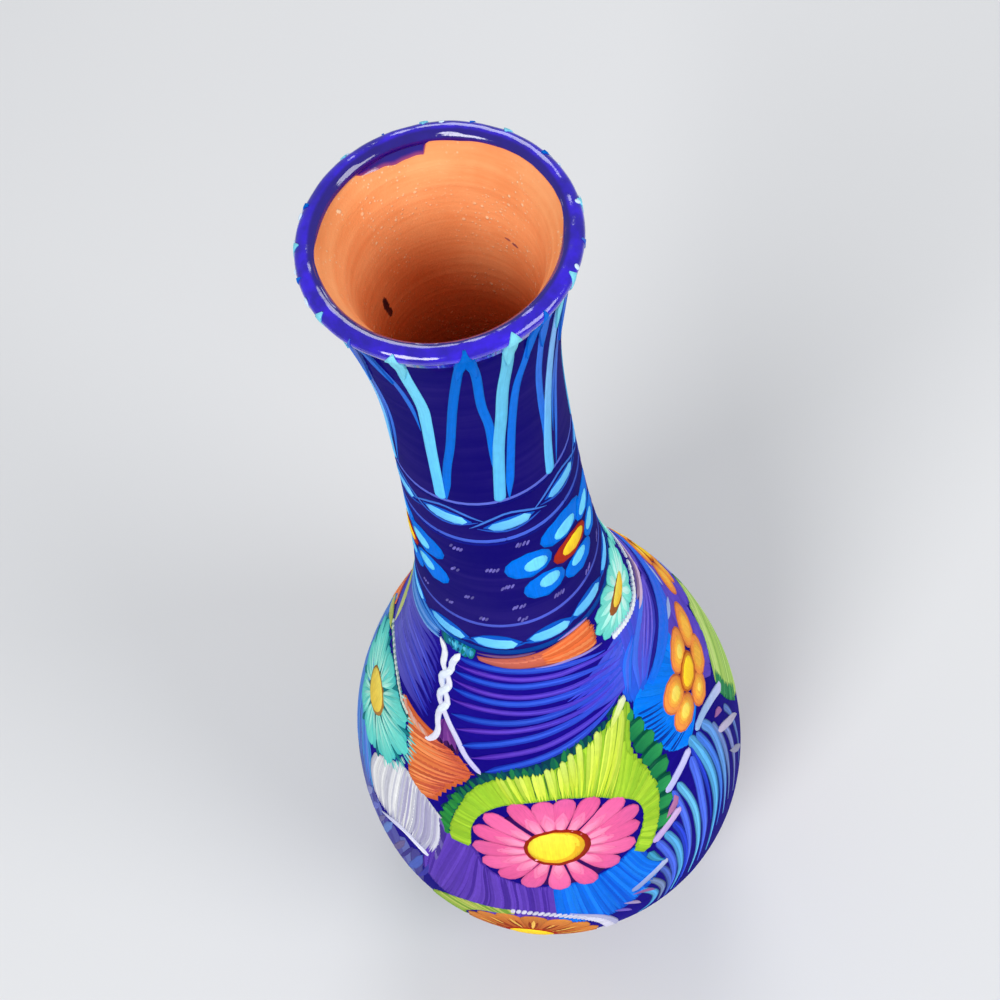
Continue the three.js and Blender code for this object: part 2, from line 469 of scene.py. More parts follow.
class Layer(IntEnum):
    """Order in which paint goes on. A higher layer lies over a lower one."""

    WASH = 0
    FIELD = 1
    FIELD_TOP = 2
    EDGE = 3
    PETAL = 4
    GLEAM = 5
    HEART_RING = 6
    HEART = 7
    SHINE = 8
    TOP = 9


class Tip(Enum):
    """Shape of a stroke's end."""

    POINT = "point"
    ROUND = "round"
    WEDGE = "wedge"
    FAN = "fan"
    BLUNT = "blunt"


WASH, FIELD, FIELD_TOP, EDGE, PETAL, GLEAM, HEART_RING, HEART, SHINE, TOP = Layer
POINT, ROUND, WEDGE, FAN, BLUNT = Tip
LEAST_WIDTH = {POINT: 0.05, ROUND: 0.06, WEDGE: 0.38, FAN: 0.36, BLUNT: 0.3}


def tip_width(tip: Tip, along: np.ndarray) -> np.ndarray:
    """Returns the share of full width at places 0 to 1 from a stroke's end."""
    x = np.clip(along, 0, 1)
    least = LEAST_WIDTH[tip]
    if tip is WEDGE:
        return least + (1 - least) * np.sin(x * math.pi / 2)
    if tip is FAN:
        return least + (1 - least) * x
    if tip is POINT:
        return np.maximum(x ** 0.8, least)
    return np.maximum(np.sqrt(1 - (1 - x) ** (4 if tip is BLUNT else 2)), least)


@dataclass(frozen=True)
class Touch:
    """How the brush is held for one kind of stroke."""

    width: float
    start: Tip = ROUND
    start_share: float = 0.15
    end: Tip = POINT
    end_share: float = 0.5
    relief: float = 0.02


def taper(width: float, start: float, end: float, relief: float = 0.02) -> Touch:
    """Returns a touch that is pointed at both ends, over these shares of its length."""
    return Touch(width, POINT, start, POINT, end, relief)


def spline(ring: np.ndarray, at: np.ndarray, t: np.ndarray) -> np.ndarray:
    """Returns points on a smooth curve through a padded row of points.

    Args:
        ring: The points, with one more at each end.
        at: Number of the piece that each result lies on.
        t: How far along its piece each result lies, 0 to 1.

    Returns:
        One row for each result.
    """
    t = t[:, None]
    a, b, c, d = ring[at], ring[at + 1], ring[at + 2], ring[at + 3]
    return 0.5 * (2 * b + (c - a) * t + (2 * a - 5 * b + 4 * c - d) * t ** 2
                  + (3 * b - a - 3 * c + d) * t ** 3)


def padded(points: Sequence[Point]) -> np.ndarray:
    """Returns the points with one more at each end, carried on straight."""
    fixed = np.array(points, float)
    return np.vstack([2 * fixed[0] - fixed[1], fixed, 2 * fixed[-1] - fixed[-2]])


def through(points: Sequence[Point], shares: np.ndarray) -> np.ndarray:
    """Follows a smooth curve through points, shared out by length.

    Args:
        points: Surface addresses that the curve passes.
        shares: Places along the curve, 0 to 1.

    Returns:
        One (azimuth, side) row for each share.
    """
    steps = np.linalg.norm(np.diff(np.array(points, float), axis=0) * (0.7, 1.0), axis=1)
    marks = np.concatenate([[0], np.cumsum(steps)]) / max(steps.sum(), 1e-9)
    at = np.clip(np.searchsorted(marks, shares, side="right") - 1, 0, len(points) - 2)
    return spline(padded(points), at, (shares - marks[at]) / np.maximum(marks[at + 1] - marks[at], 1e-9))


def along_rail(points: Sequence[Point], share: float) -> Point:
    """Returns the place on a rail at a share of its points, each counted alike."""
    place = min(max(share, 0.0), 1.0) * (len(points) - 1)
    at = min(int(place), len(points) - 2)
    return tuple(spline(padded(points), np.array([at]), np.array([place - at]))[0])


class DabTool:
    """Plain dabs of paint, each modelled once and bent into place for every stroke."""

    LENGTHS = (4, 6, 9, 13, 19, 28, 42)

    def __init__(self) -> None:
        """Starts with no dab made."""
        self._made: dict[tuple[int, int], tuple[np.ndarray, np.ndarray]] = {}

    def dab(self, along: int, across: int) -> tuple[np.ndarray, np.ndarray]:
        """Returns a dab's corners and faces.

        Args:
            along: Least number of cells along it.
            across: Number of cells across it.

        Returns:
            Corners, from -1 to 1 along x and y and from -1 to 0 in z, and faces of four.
        """
        cells = next((n for n in self.LENGTHS if n >= along), self.LENGTHS[-1])
        if (cells, across) not in self._made:
            self._made[cells, across] = self._model(cells, across)
        return self._made[cells, across]

    @staticmethod
    def _model(along: int, across: int) -> tuple[np.ndarray, np.ndarray]:
        """Models one dab: a grid drawn down into a closed slab."""
        deselect_all()
        bpy.ops.mesh.primitive_grid_add(x_subdivisions=along, y_subdivisions=across, size=2)
        slab = bpy.context.object
        bpy.ops.object.mode_set(mode="EDIT")
        bpy.ops.mesh.select_all(action="SELECT")
        bpy.ops.mesh.extrude_region_move(TRANSFORM_OT_translate={"value": (0, 0, -1)})
        bpy.ops.mesh.select_all(action="SELECT")
        bpy.ops.mesh.normals_make_consistent(inside=False)
        bpy.ops.object.mode_set(mode="OBJECT")
        corners = np.array([v.co for v in slab.data.vertices], float)
        faces = np.array([p.vertices for p in slab.data.polygons], int)
        bpy.data.objects.remove(slab)
        return corners, faces


@dataclass(frozen=True)
class Side:
    """Where a motif is painted: turned about the axis, or drawn in mirror image on the back."""

    turn: float = 0.0
    mirror: bool = False

    BACK_SHARE = 0.837

    def azimuth(self, azimuth: np.ndarray) -> np.ndarray:
        """Returns the azimuths on this side."""
        return 180 - self.BACK_SHARE * azimuth if self.mirror else azimuth + self.turn


class Brush:
    """Collects the strokes of one piece of the painting and makes its mesh."""

    GROUND = -0.2
    STEP = 0.045
    JITTER = 0.03
    DEPTH = 0.1
    TRIALS = 25
    CELL = 1.8
    LEAST_CELLS = 6
    BROAD = 3.4
    CELLS_ACROSS = (4, 6)
    CROWDED, EVEN = 0.55, 0.45
    NEAR = 0.01
    FADE = 1.3
    WASH_LAP = 2.1
    WASH_SHORT = 0.07

    def __init__(self, skin: VaseSkin, tool: DabTool, seed: int) -> None:
        """Starts with an empty piece.

        Args:
            skin: The surface to paint on.
            tool: The dabs to paint with.
            seed: Start of this piece's own random numbers.
        """
        self.skin = skin
        self.tool = tool
        self.chance = np.random.default_rng(seed)
        self.corners: list[np.ndarray] = []
        self.faces: list[np.ndarray] = []
        self.smooth: list[np.ndarray] = []
        self.colours: list[np.ndarray] = []
        self.places: list[np.ndarray] = []
        self.count = 0
        self.side = Side()

    def stroke(self, path: Sequence[Point], touch: Touch, colour: Colour, layer: Layer,
               end_colour: Colour | None = None, vary: float = 0.1) -> None:
        """Lays one stroke.

        Args:
            path: Addresses that the stroke passes.
            touch: How the brush is held.
            colour: Colour at the start.
            layer: Where it lies among the other paint.
            end_colour: Colour at the end, if another.
            vary: Most that the colour's strength may differ from stroke to stroke.
        """
        trial = through(path, np.linspace(0, 1, self.TRIALS))
        reach = self.skin.radius(trial[:, 1])
        steps = np.hypot(np.radians(np.diff(trial[:, 0])) * reach[1:], np.diff(trial[:, 1]))
        length = float(steps.sum())
        cells = max(self.LEAST_CELLS, math.ceil(length / self.CELL))
        shape, faces = self.tool.dab(cells, self.CELLS_ACROSS[touch.width >= self.BROAD])
        even = (shape[:, 0] + 1) / 2
        t = self.CROWDED * (0.5 - 0.5 * np.cos(math.pi * even)) + self.EVEN * even
        v = shape[:, 1]
        here = through(path, t)
        ahead = through(path, np.minimum(t + self.NEAR, 1)) - through(path, np.maximum(t - self.NEAR, 0))
        radius = self.skin.radius(here[:, 1])
        dx = np.radians(ahead[:, 0]) * radius
        dy = ahead[:, 1]
        size = np.maximum(np.hypot(dx, dy), 1e-9)
        full = (tip_width(touch.start, t / max(touch.start_share, 1e-3))
                * tip_width(touch.end, (1 - t) / max(touch.end_share, 1e-3)))
        aside = v * full * touch.width / 2
        azimuth = self.side.azimuth(here[:, 0] - np.degrees(aside * dy / size / radius))
        side = here[:, 1] + aside * dx / size
        base = self.GROUND + self.STEP * (int(layer) + 1) + self.chance.uniform(0, self.JITTER)
        dome = touch.relief * np.sqrt(np.clip(1 - v ** 2, 0, 1)) * np.sqrt(full)
        top = shape[:, 2] > -0.5
        lift = np.where(top, base + dome, self.GROUND - self.DEPTH)
        strength = 1 + self.chance.uniform(-vary, vary)
        blend = t[:, None] ** self.FADE
        first, last = linear(colour), linear(colour if end_colour is None else end_colour)
        tone = (np.array(first) * (1 - blend) + np.array(last) * blend) * strength
        own = np.full(len(t), self.chance.uniform(0, 90))
        self.corners.append(self.skin.place(azimuth, side, lift) * MM)
        self.faces.append((faces[:, ::-1] if self.side.mirror else faces) + self.count)
        self.smooth.append(top[faces].all(axis=1))
        self.colours.append(np.concatenate([tone, np.ones((len(t), 1))], axis=1))
        self.places.append(np.stack([t * length, aside + own, own], axis=1))
        self.count += len(t)

    def oval(self, centre: Point, half: Point, colour: Colour, layer: Layer, relief: float = 0.02,
             end_colour: Colour | None = None) -> None:
        """Lays one oval dab.

        Args:
            centre: Its address.
            half: Half its size across and up, in millimetres.
            colour: Its colour.
            layer: Where it lies.
            relief: How high it stands.
            end_colour: Colour at its upper end, if another.
        """
        path = [self.skin.beside(centre, 0, -half[1]), centre, self.skin.beside(centre, 0, half[1])]
        touch = Touch(half[0] * 2, ROUND, 0.5, ROUND, 0.5, relief)
        self.stroke(path, touch, colour, layer, end_colour, 0.05)

    def sweep(self, rails: Sequence[Sequence[Point]], count: int, touch: Touch,
              colours: Sequence[Colour], layer: Layer, *, shuffle: bool = False, fray: float = 0.0,
              wander: float = 0.3, ends: Sequence[Colour] | None = None,
              wash: Colour | None = None) -> None:
        """Lays strokes side by side, each at its own share of every rail.

        Args:
            rails: Curves that each stroke passes in turn.
            count: Number of strokes.
            touch: How the brush is held.
            colours: Colours, in turn or shuffled.
            layer: Where the strokes lie.
            shuffle: Whether the colours come in no order.
            fray: Most that a stroke's end may fall short, as a share of its length.
            wander: Most that a stroke may leave its even place, in stroke spacings.
            ends: Colours at the far ends.
            wash: Colour laid under the strokes, if any.
        """
        if wash is not None:
            broad = max(5, count // 3)
            flat = Touch(self._rail_length(rails) / broad * self.WASH_LAP, BLUNT, 0.05, BLUNT, 0.05,
                0.01)
            for i in range(broad):
                path = self._shortened([along_rail(rail, (i + 0.5) / broad) for rail in rails],
                    self.WASH_SHORT)
                self.stroke(path, flat, wash, WASH, None, 0.02)
        for i in range(count):
            share = (i + 0.5 + self.chance.uniform(-wander, wander)) / count
            path = [along_rail(rail, share) for rail in rails]
            pick = int(self.chance.integers(len(colours))) if shuffle else i % len(colours)
            if fray:
                path = self._shortened(path, self.chance.uniform(0, fray))
            end = ends[pick % len(ends)] if ends else None
            self.stroke(path, touch, colours[pick], layer, end)

    @staticmethod
    def _shortened(path: Sequence[Point], short: float) -> list[Point]:
        """Returns a path whose end falls short by a share of its last leg."""
        last = np.array(path[-1]) * (1 - short) + np.array(path[-2]) * short
        return [*path[:-1], tuple(last)]

    def _rail_length(self, rails: Sequence[Sequence[Point]]) -> float:
        """Returns the length of the longest rail, in millimetres."""
        lengths = []
        for rail in rails:
            p = through(rail, np.linspace(0, 1, 20))
            across = np.radians(np.diff(p[:, 0])) * self.skin.radius(p[1:, 1])
            lengths.append(float(np.hypot(across, np.diff(p[:, 1])).sum()))
        return max(lengths)

    def piece(self, name: str, material: bpy.types.Material) -> bpy.types.Object:
        """Makes the collected strokes one piece.

        Args:
            name: The piece's name.
            material: Its paint.

        Returns:
            The object, riding on the vase.
        """
        mesh = bpy.data.meshes.new(name)
        corners = np.concatenate(self.corners)
        faces = np.concatenate(self.faces)
        mesh.vertices.add(len(corners))
        mesh.vertices.foreach_set("co", corners.ravel())
        mesh.loops.add(faces.size)
        mesh.loops.foreach_set("vertex_index", faces.ravel())
        mesh.polygons.add(len(faces))
        mesh.polygons.foreach_set("loop_start", np.arange(0, faces.size, 4))
        mesh.polygons.foreach_set("loop_total", np.full(len(faces), 4))
        mesh.update(calc_edges=True)
        paint = mesh.attributes.new("paint", "FLOAT_COLOR", "POINT")
        paint.data.foreach_set("color", np.concatenate(self.colours).ravel())
        place = mesh.attributes.new("stroke", "FLOAT_VECTOR", "POINT")
        place.data.foreach_set("vector", np.concatenate(self.places).ravel())
        mesh.polygons.foreach_set("use_smooth", np.concatenate(self.smooth))
        mesh.materials.append(material)
        piece = bpy.data.objects.new(name, mesh)
        bpy.context.scene.collection.objects.link(piece)
        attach(piece, "root")
        LOG.info("%s: %d corners, %d faces", name, len(corners), len(faces))
        return piece


class Turner:
    """Turns closed sections about the vase's axis."""

    STEPS = 192

    @classmethod
    def turned(cls, name: str, section: Sequence[Point]) -> bpy.types.Object:
        """Turns one section into a closed body.

        Args:
            name: The piece's name.
            section: Its closed section, (radius, height) in millimetres.

        Returns:
            The new object, smooth and facing outwards.
        """
        deselect_all()
        bpy.ops.mesh.primitive_circle_add(vertices=len(section), radius=MM)
        body = bpy.context.object
        body.name = body.data.name = name
        for vertex, (radius, height) in zip(body.data.vertices, section):
            vertex.co = (radius * MM, 0, height * MM)
        bpy.ops.object.mode_set(mode="EDIT")
        bpy.ops.mesh.select_all(action="SELECT")
        bpy.ops.mesh.spin(steps=cls.STEPS, angle=2 * math.pi, center=(0, 0, 0), axis=(0, 0, 1))
        bpy.ops.mesh.select_all(action="SELECT")
        bpy.ops.mesh.remove_doubles(threshold=1e-6)
        bpy.ops.mesh.dissolve_degenerate(threshold=1e-7)
        bpy.ops.mesh.normals_make_consistent(inside=False)
        bpy.ops.object.mode_set(mode="OBJECT")
        bpy.ops.object.shade_smooth_by_angle(angle=math.radians(50))
        return body

    @staticmethod
    def settle(body: bpy.types.Object, node: str, slot: str, material: bpy.types.Material) -> None:
        """Dresses a turned body and puts it in the place of its solid."""
        body.data.materials.clear()
        body.data.materials.append(material)
        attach(body, "root")
        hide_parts(node)
        LOG.info("%s: %d faces", body.name, len(body.data.polygons))


@dataclass
class ClayBody:
    """The fired clay: foot coil, floor slab, two belly sections, neck and lip coil."""

    skin: VaseSkin
    paint: float = 0.75
    belly_wall: float = 5.0
    neck_wall: float = 3.3
    coat: float = 0.5
    slip: float = 0.3
    lap: float = 6.0
    ridge: float = 0.1
    foot_share: float = 0.553
    foot_inset: float = 1.4
    foot_width: float = 6.4
    foot_ease: float = 0.9
    floor_edge: float = 9.0
    floor_top: float = 13.0
    neck_joint: float = 12.0
    tongue_root: float = 1.9
    tongue_tip: float = 1.3
    collar: float = 2.4
    collar_gap: float = 2.44

    def wall_at(self, height: float) -> float:
        """Returns the clay's thickness at a height."""
        form = self.skin.form
        x = min(max((height - form.belly) / (form.neck_base - form.belly), 0), 1)
        return self.belly_wall + (self.neck_wall - self.belly_wall) * x * x * (3 - 2 * x)

    def inner(self, low: float, high: float, step: float = 2.0, ridge: float = 0.0) -> list[Point]:
        """Returns points of the inner wall between two heights, with low throwing ridges."""
        points = []
        count = max(2, int((high - low) / step))
        for i in range(count + 1):
            height = low + (high - low) * i / count
            side = self.skin.side_at(height)
            slope = float(np.interp(side, self.skin.s, self.skin.nr))
            depth = (self.coat + self.wall_at(height)) / max(slope, 0.4)
            wobble = ridge * (math.sin(height * 2.7) + 0.6 * math.sin(height * 4.3 + 1)
                              + 0.5 * math.sin(height * 7.1 + 2))
            points.append((float(self.skin.radius(side)) - depth + wobble, height))
        return points

    def build(self, clay: bpy.types.Material) -> None:
        """Builds the six sections."""
        form = self.skin.form
        wall = self.skin.wall
        slip, lap, width, ease = self.slip, self.lap, self.foot_width, self.foot_ease
        edge, floor, seam = self.floor_edge, self.floor_top, form.belly
        foot_top = form.belly_radius * self.foot_share - self.paint
        outer = form.belly_radius * self.foot_share - self.foot_inset
        nick = ease / 3
        foot = [(outer - width, form.foot), (outer - width, ease), (outer - width + nick, nick),
                (outer - width + ease, 0), (outer - ease, 0), (outer - nick, nick), (outer, ease),
                (outer + 0.1, 2.4), (outer - 0.2, 4.2), (foot_top, form.foot)]
        plug = self.inner(floor, seam)[0][0] - slip
        slab = [(0, form.foot), *wall(form.foot, edge, self.paint, 1.0), (plug, edge), (plug, floor),
                (0, floor)]
        middle = form.belly_radius - self.coat - self.belly_wall / 2
        low = [*wall(edge, seam, self.paint), (middle, seam), (middle, seam + lap),
            (self.inner(seam, seam + lap)[0][0], seam + lap),
            *reversed(self.inner(floor, seam - 1, 2, self.ridge)), (plug + slip, floor),
            (plug + slip, edge)]
        joint = form.neck_base - self.neck_joint
        root = self.inner(joint, joint + lap)[0][0] + self.tongue_root
        tongue = self.inner(joint + lap, form.seat)[0][0]
        high = [(middle + slip, seam), *wall(seam, joint, self.paint), (root, joint),
                (tongue + self.tongue_tip, joint + lap), (tongue, joint + lap),
                *reversed(self.inner(seam + lap + slip, joint, 2, self.ridge)),
                (middle + slip, seam + lap + slip)]
        top = self.inner(form.seat, form.seat + 1)[0][0]
        neck = [(root + slip, joint), *wall(joint, form.seat, self.paint), (18.3, form.seat),
                (18.9, form.seat + self.collar), (top + 1.0, form.seat + self.collar),
                *reversed(self.inner(joint + lap + slip, form.seat, 0.8, self.ridge / 2)),
                (tongue + self.tongue_tip + slip, joint + lap + slip)]
        lip = [(18.6, form.seat), (19.4, form.seat), *form.lip_arc(0.45, -58, 205, 12),
               (top + 2.6, form.seat + 5.0), (top + 1.0, form.seat + self.collar_gap),
               (19.2, form.seat + self.collar_gap)]
        sections = (("foot_coil", foot), ("floor_slab", slab), ("lower_belly", low),
            ("upper_belly", high), ("neck", neck), ("lip_coil", lip))
        for node, section in sections:
            Turner.settle(Turner.turned(node + "_clay", section), node, "bare_clay", clay)


@dataclass
class GroundCoats:
    """The two dark grounds and the lip's thick enamel."""

    skin: VaseSkin
    proud: float = 0.2
    under: float = 0.72

    OVER = (-58, 122)
    INSIDE = (130, 205, 7.5)

    def build(self) -> None:
        """Builds the coats of the belly, the neck and the lip."""
        form = self.skin.form
        wall = self.skin.wall
        belly = GroundPaint("belly_ground_navy", 0x10027A, 0x1A088E).material()
        neck = GroundPaint("neck_ground_indigo", 0x0E0468, 0x241872).material()
        spans = (("belly_ground", "belly_paint", 9.0, form.neck_base, belly),
                 ("neck_ground", "neck_paint", form.neck_base, form.seat + 3.2, neck))
        for name, node, low, high, material in spans:
            section = [*wall(low, high, self.proud), *reversed(wall(low, high, self.under, 5))]
            Turner.settle(Turner.turned(name, section), node, "body_paint", material)
        self._lip()

    @staticmethod
    def _lap(azimuth: np.ndarray) -> np.ndarray:
        """Returns how far the enamel laps down inside the mouth, 0 to 1, by azimuth."""
        a = np.degrees(azimuth) % 360
        turn = np.interp(a, [0, 60, 75, 82, 91, 100, 109, 129, 140, 150, 160, 169, 175, 177, 194, 212,
            222, 231, 237, 242, 249, 257, 263, 270, 278, 290, 310, 360],
            [158, 162, 160, 145, 138, 142, 150, 156, 167, 172, 186, 180, 176, 214, 216, 207, 196, 187,
            184, 183, 178, 160, 146, 142, 154, 163, 160, 158])
        ripple = 0.8 * np.sin(azimuth * 23) + 0.5 * np.sin(azimuth * 41 + 1)
        return np.interp(turn + ripple, [130, 205, 210, 220], [0, 10 / 12, 11 / 12, 1])

    def _lip(self) -> None:
        """Builds the enamel rolled over the lip, with its uneven edge inside the mouth."""
        form = self.skin.form
        skirt = self.skin.wall(form.seat + 2.3, form.lip_arc(0, form.skirt_angle, 64, 3)[0][1], 0.02,
            0.8)
        over = form.lip_arc(0, *self.OVER, 8)
        inside = np.array([*form.lip_arc(0.02, *self.INSIDE), (18.5, 299.0), (17.9, 298.0)])
        behind = np.array([*form.lip_arc(0.42, *self.INSIDE), (18.9, 298.8), (18.3, 297.8)])
        section = [*skirt, *over, *inside.tolist(), *reversed(behind.tolist()),
                   *reversed(form.lip_arc(0.42, *self.OVER, 12)), (skirt[0][0] - 0.4, skirt[0][1])]
        body = Turner.turned("lip_enamel_roll", section)
        mesh = body.data
        corners = np.zeros(len(mesh.vertices) * 3)
        mesh.vertices.foreach_get("co", corners)
        corners = corners.reshape(-1, 3) / MM
        azimuth = np.arctan2(corners[:, 0], -corners[:, 1])
        reach = np.hypot(corners[:, 0], corners[:, 1])
        share = np.zeros(len(corners))
        limit = self._lap(azimuth)
        marks = np.linspace(0, 1, len(inside))
        height = corners[:, 2].copy()
        for track in (inside, behind):
            for i, (r, z) in enumerate(track):
                hit = (abs(reach - r) < 0.01) & (abs(height - z) < 0.01)
                share[hit] = marks[i]
                at = marks[i] * limit[hit]
                scale = np.interp(at, marks, track[:, 0]) / reach[hit]
                corners[hit, 0] *= scale
                corners[hit, 1] *= scale
                corners[hit, 2] = np.interp(at, marks, track[:, 1])
        swell = (0.05 * np.sin(azimuth * 7) + 0.04 * np.sin(azimuth * 13 + 2)
                 + 0.03 * np.sin(azimuth * 29))
        outer = (share == 0) & (height > form.lip)
        corners[outer, 2] += swell[outer]
        # Off the inner tracks the share goes negative as the section leans inwards past the crest; the
        # enamel uses it for painted shade on the inner slope, while the inner tracks carry the rosy
        # edge.
        lean = np.degrees(np.arctan2((height - form.lip) / form.lip_height,
                                     (reach - form.lip_radius) / form.lip_width))
        share = np.where(share == 0, np.clip((lean - 130) / 100, -1, 0), share)
        lap = mesh.attributes.new("lap", "FLOAT", "POINT")
        lap.data.foreach_set("value", share)
        mesh.vertices.foreach_set("co", (corners * MM).ravel())
        mesh.update()
        Turner.settle(body, "lip_enamel", "lip_paint", LipEnamel().material())


PALE_BLUE = 0x78D0FF
AZURE = 0x0070E2
PERIWINKLE = 0x4E62D0
WHITE = 0xEEF2F8
RED_BROWN = 0xAA2C1C
YELLOW = 0xFFE230
AMBER = 0xFAC42E
ROUND_FRONT = (Side(), Side(mirror=True))
THREE_WAYS = (Side(0), Side(120), Side(240))


@dataclass
class Ornament:
    """One piece of the painting."""

    skin: VaseSkin
    tool: DabTool
    paint: bpy.types.Material
    name: str = "ornament"
    seed: int = 1
    sides: tuple[Side, ...] = ROUND_FRONT
    centre: Point = (0.0, 0.0)

    def build(self) -> bpy.types.Object:
        """Paints the piece on every side where it is repeated."""
        brush = Brush(self.skin, self.tool, self.seed)
        for side in self.sides:
            brush.side = side
            self.lay(brush)
        return brush.piece(self.name, self.paint)

    def lay(self, brush: Brush) -> None:
        """Paints the piece once."""
        raise NotImplementedError

    def around(self, across: float, up: float, degrees: float, centre: Point | None = None) -> Point:
        """Returns an address on an oval about the centre, degrees round from its right."""
        a = math.radians(degrees)
        return self.skin.beside(centre or self.centre, across * math.cos(a), up * math.sin(a))

    def spoke(self, near: Triple, far: Triple, centre: Point | None = None) -> list[Point]:
        """Returns a path between two places about the centre, each (across, up, degrees)."""
        return [self.around(*near, centre), self.around(*far, centre)]


@dataclass
class NeckRings(Ornament):
    """Thin lines round the neck and the two rows of long dashes between them."""

    name: str = "neck_rings_and_dashes"
    seed: int = 11
    sides: tuple[Side, ...] = (Side(),)

    def ring(self, brush: Brush, side: float, width: float, colour: Colour, sway: float) -> None:
        """Paints one line all the way round, in eight overlapping strokes.

        Args:
            brush: The brush.
            side: Its length up the side.
            width: Its width.
            colour: Its colour.
            sway: How far it wavers up and down.
        """
        touch = Touch(width, ROUND, 0.04, ROUND, 0.04)
        for i in range(8):
            first = i * 45 - 2
            path = [(first + j * 12.25, side + sway * math.sin(math.radians(first + j * 12.25 - 20)))
                for j in range(5)]
            brush.stroke(path, touch, colour, WASH, None, 0.12)

    def lay(self, brush: Brush) -> None:
        """Paints the lines and dashes."""
        for side, width, colour, sway in ((263.0, 0.9, 0x5A68CE, 0.2), (262.0, 1.0, 0x0A086E, 0.2),
                (248.2, 1.2, 0x425ECC, 0.3), (246.9, 0.9, 0x0E1480, 0.3), (212.3, 1.1, 0x4A58C4, 1.5),
                (200.2, 1.7, 0x04429C, 0.3)):
            self.ring(brush, side, width, colour, sway)
        thin = taper(0.6, 0.2, 0.2)
        for i, middle in enumerate((-36, 4.5, 47, 87, 127, 166, 205, 244, 284)):
            side = (256.3, 253.8, 255.6)[i % 3]
            tilt = (-0.6, 0.3, 0.1)[i % 3]
            brush.stroke([(middle - 17, side - tilt), (middle, side + 0.3), (middle + 17, side + tilt)],
                taper(4.2, 0.35, 0.35), 0x1258C6, WASH)
            brush.stroke([(middle - 14, side - tilt), (middle, side - 0.2), (middle + 14, side + tilt)],
                Touch(3.3, ROUND, 0.3, ROUND, 0.2, 0.05), 0x62BAF8, FIELD, PALE_BLUE)
            brush.stroke([(middle - 26, side - 0.6), (middle - 9, side + 3.2), (middle + 4, side + 3.8),
                (middle + 26, side - 0.6)], thin, 0x4278D6, FIELD)
            brush.stroke([(middle - 21, side - 0.6), (middle, side - 2.6), (middle + 21, side - 0.6)],
                thin, 0x2A5AC8, FIELD)
        for i, middle in enumerate((-52, -20, 13.5, 43, 76, 108, 140, 172, 204, 236, 272)):
            side = 204.3 + 1.3 * math.sin(math.radians(middle - 10))
            brush.stroke([(middle - 15, side - 0.1), (middle + 2, side + 0.7),
                (middle + 16, side + 0.3)], taper(5.2, 0.35, 0.35), 0x0C58C6, WASH)
            brush.stroke([(middle - 13, side + 0.2), (middle, side - 0.3), (middle + 13, side - 0.2)],
                Touch(3.7, ROUND, 0.3, ROUND, 0.22, 0.06), 0x5CBAF8, FIELD, PALE_BLUE)
            brush.stroke([(middle - 18, side - 0.9), (middle, side - 1.8), (middle + 18, side - 0.5)],
                taper(1.3, 0.2, 0.2), 0x1254C0, WASH)


@dataclass
class HangingStrokes(Ornament):
    """Long strokes that hang from the lip and meet in points at the first ring."""

    name: str = "neck_hanging_strokes"
    seed: int = 12
    sides: tuple[Side, ...] = THREE_WAYS

    def lay(self, brush: Brush) -> None:
        """Paints three groups of strokes, and the paint that runs up on the lip."""
        broad = Touch(2.2, POINT, 0.06, BLUNT, 0.03, 0.05)
        slim = taper(1.6, 0.05, 0.1, 0.04)
        faint = taper(1.1, 0.3, 0.3)
        sky = 0x5CC0FA
        pale = (([(-28, 323.3), (-29.6, 318), (-30.4, 311), (-29.0, 299.3), (-31.0, 291.8),
            (-34.2, 280.5), (-36.4, 263)], 0x70C8E2),
            ([(20, 323.7), (19.4, 318), (18.4, 311), (15, 302.4), (12, 291.8), (7, 280.5), (1.4, 263)],
            0x6CC4E2), ([(56, 323.7), (54, 317), (51.6, 308), (49, 293), (46, 283), (41, 271.8),
            (38.6, 262.6)], 0x8CB8F2))
        for path, tone in pale:
            brush.stroke(path, broad, tone, FIELD, sky)
            brush.stroke(path[:3], taper(2.4, 0.14, 0.4, 0.05), 0x80D4E8, TOP, 0x70CAE4, 0.03)
        azure, steel = 0x0466C8, 0x3E70D8
        blue = (([(0.4, 323.8), (-2.4, 318), (-6, 311.5), (-12, 300.5), (-20, 285.5), (-27, 275),
            (-32.4, 263)], slim, azure), ([(-0.4, 323.8), (1, 318), (2.8, 311), (2.5, 299.3),
            (4.5, 290.5), (4, 280.5), (4, 271)], slim, azure),
            ([(36, 323.4), (33.4, 318), (29, 309), (23, 301), (18, 288), (14, 278), (7.4, 263)], slim,
            0x166AD4), ([(40, 321), (39.6, 316), (39.4, 308), (38.7, 299.3), (40, 290), (41.5, 279),
            (40, 268)], slim, steel), ([(61, 320), (60.4, 315), (59, 302.4), (58.6, 290), (54, 278),
            (45, 263)], faint, 0x5676DE), ([(-47, 323.2), (-47.6, 316), (-39.5, 306.6), (-36.4, 298),
            (-36.8, 288)], faint, 0x466ECD), ([(-54, 318), (-56, 312), (-61, 300), (-67, 286),
            (-72, 274)], faint, 0x5C68B0))
        for path, touch, colour in blue:
            brush.stroke(path, touch, colour, WASH, 0x086EDE, 0.05)
            brush.stroke(path[:3], taper(touch.width + 0.4, 0.2, 0.4, 0.04), colour, SHINE, 0x0A6AD2,
                0.03)


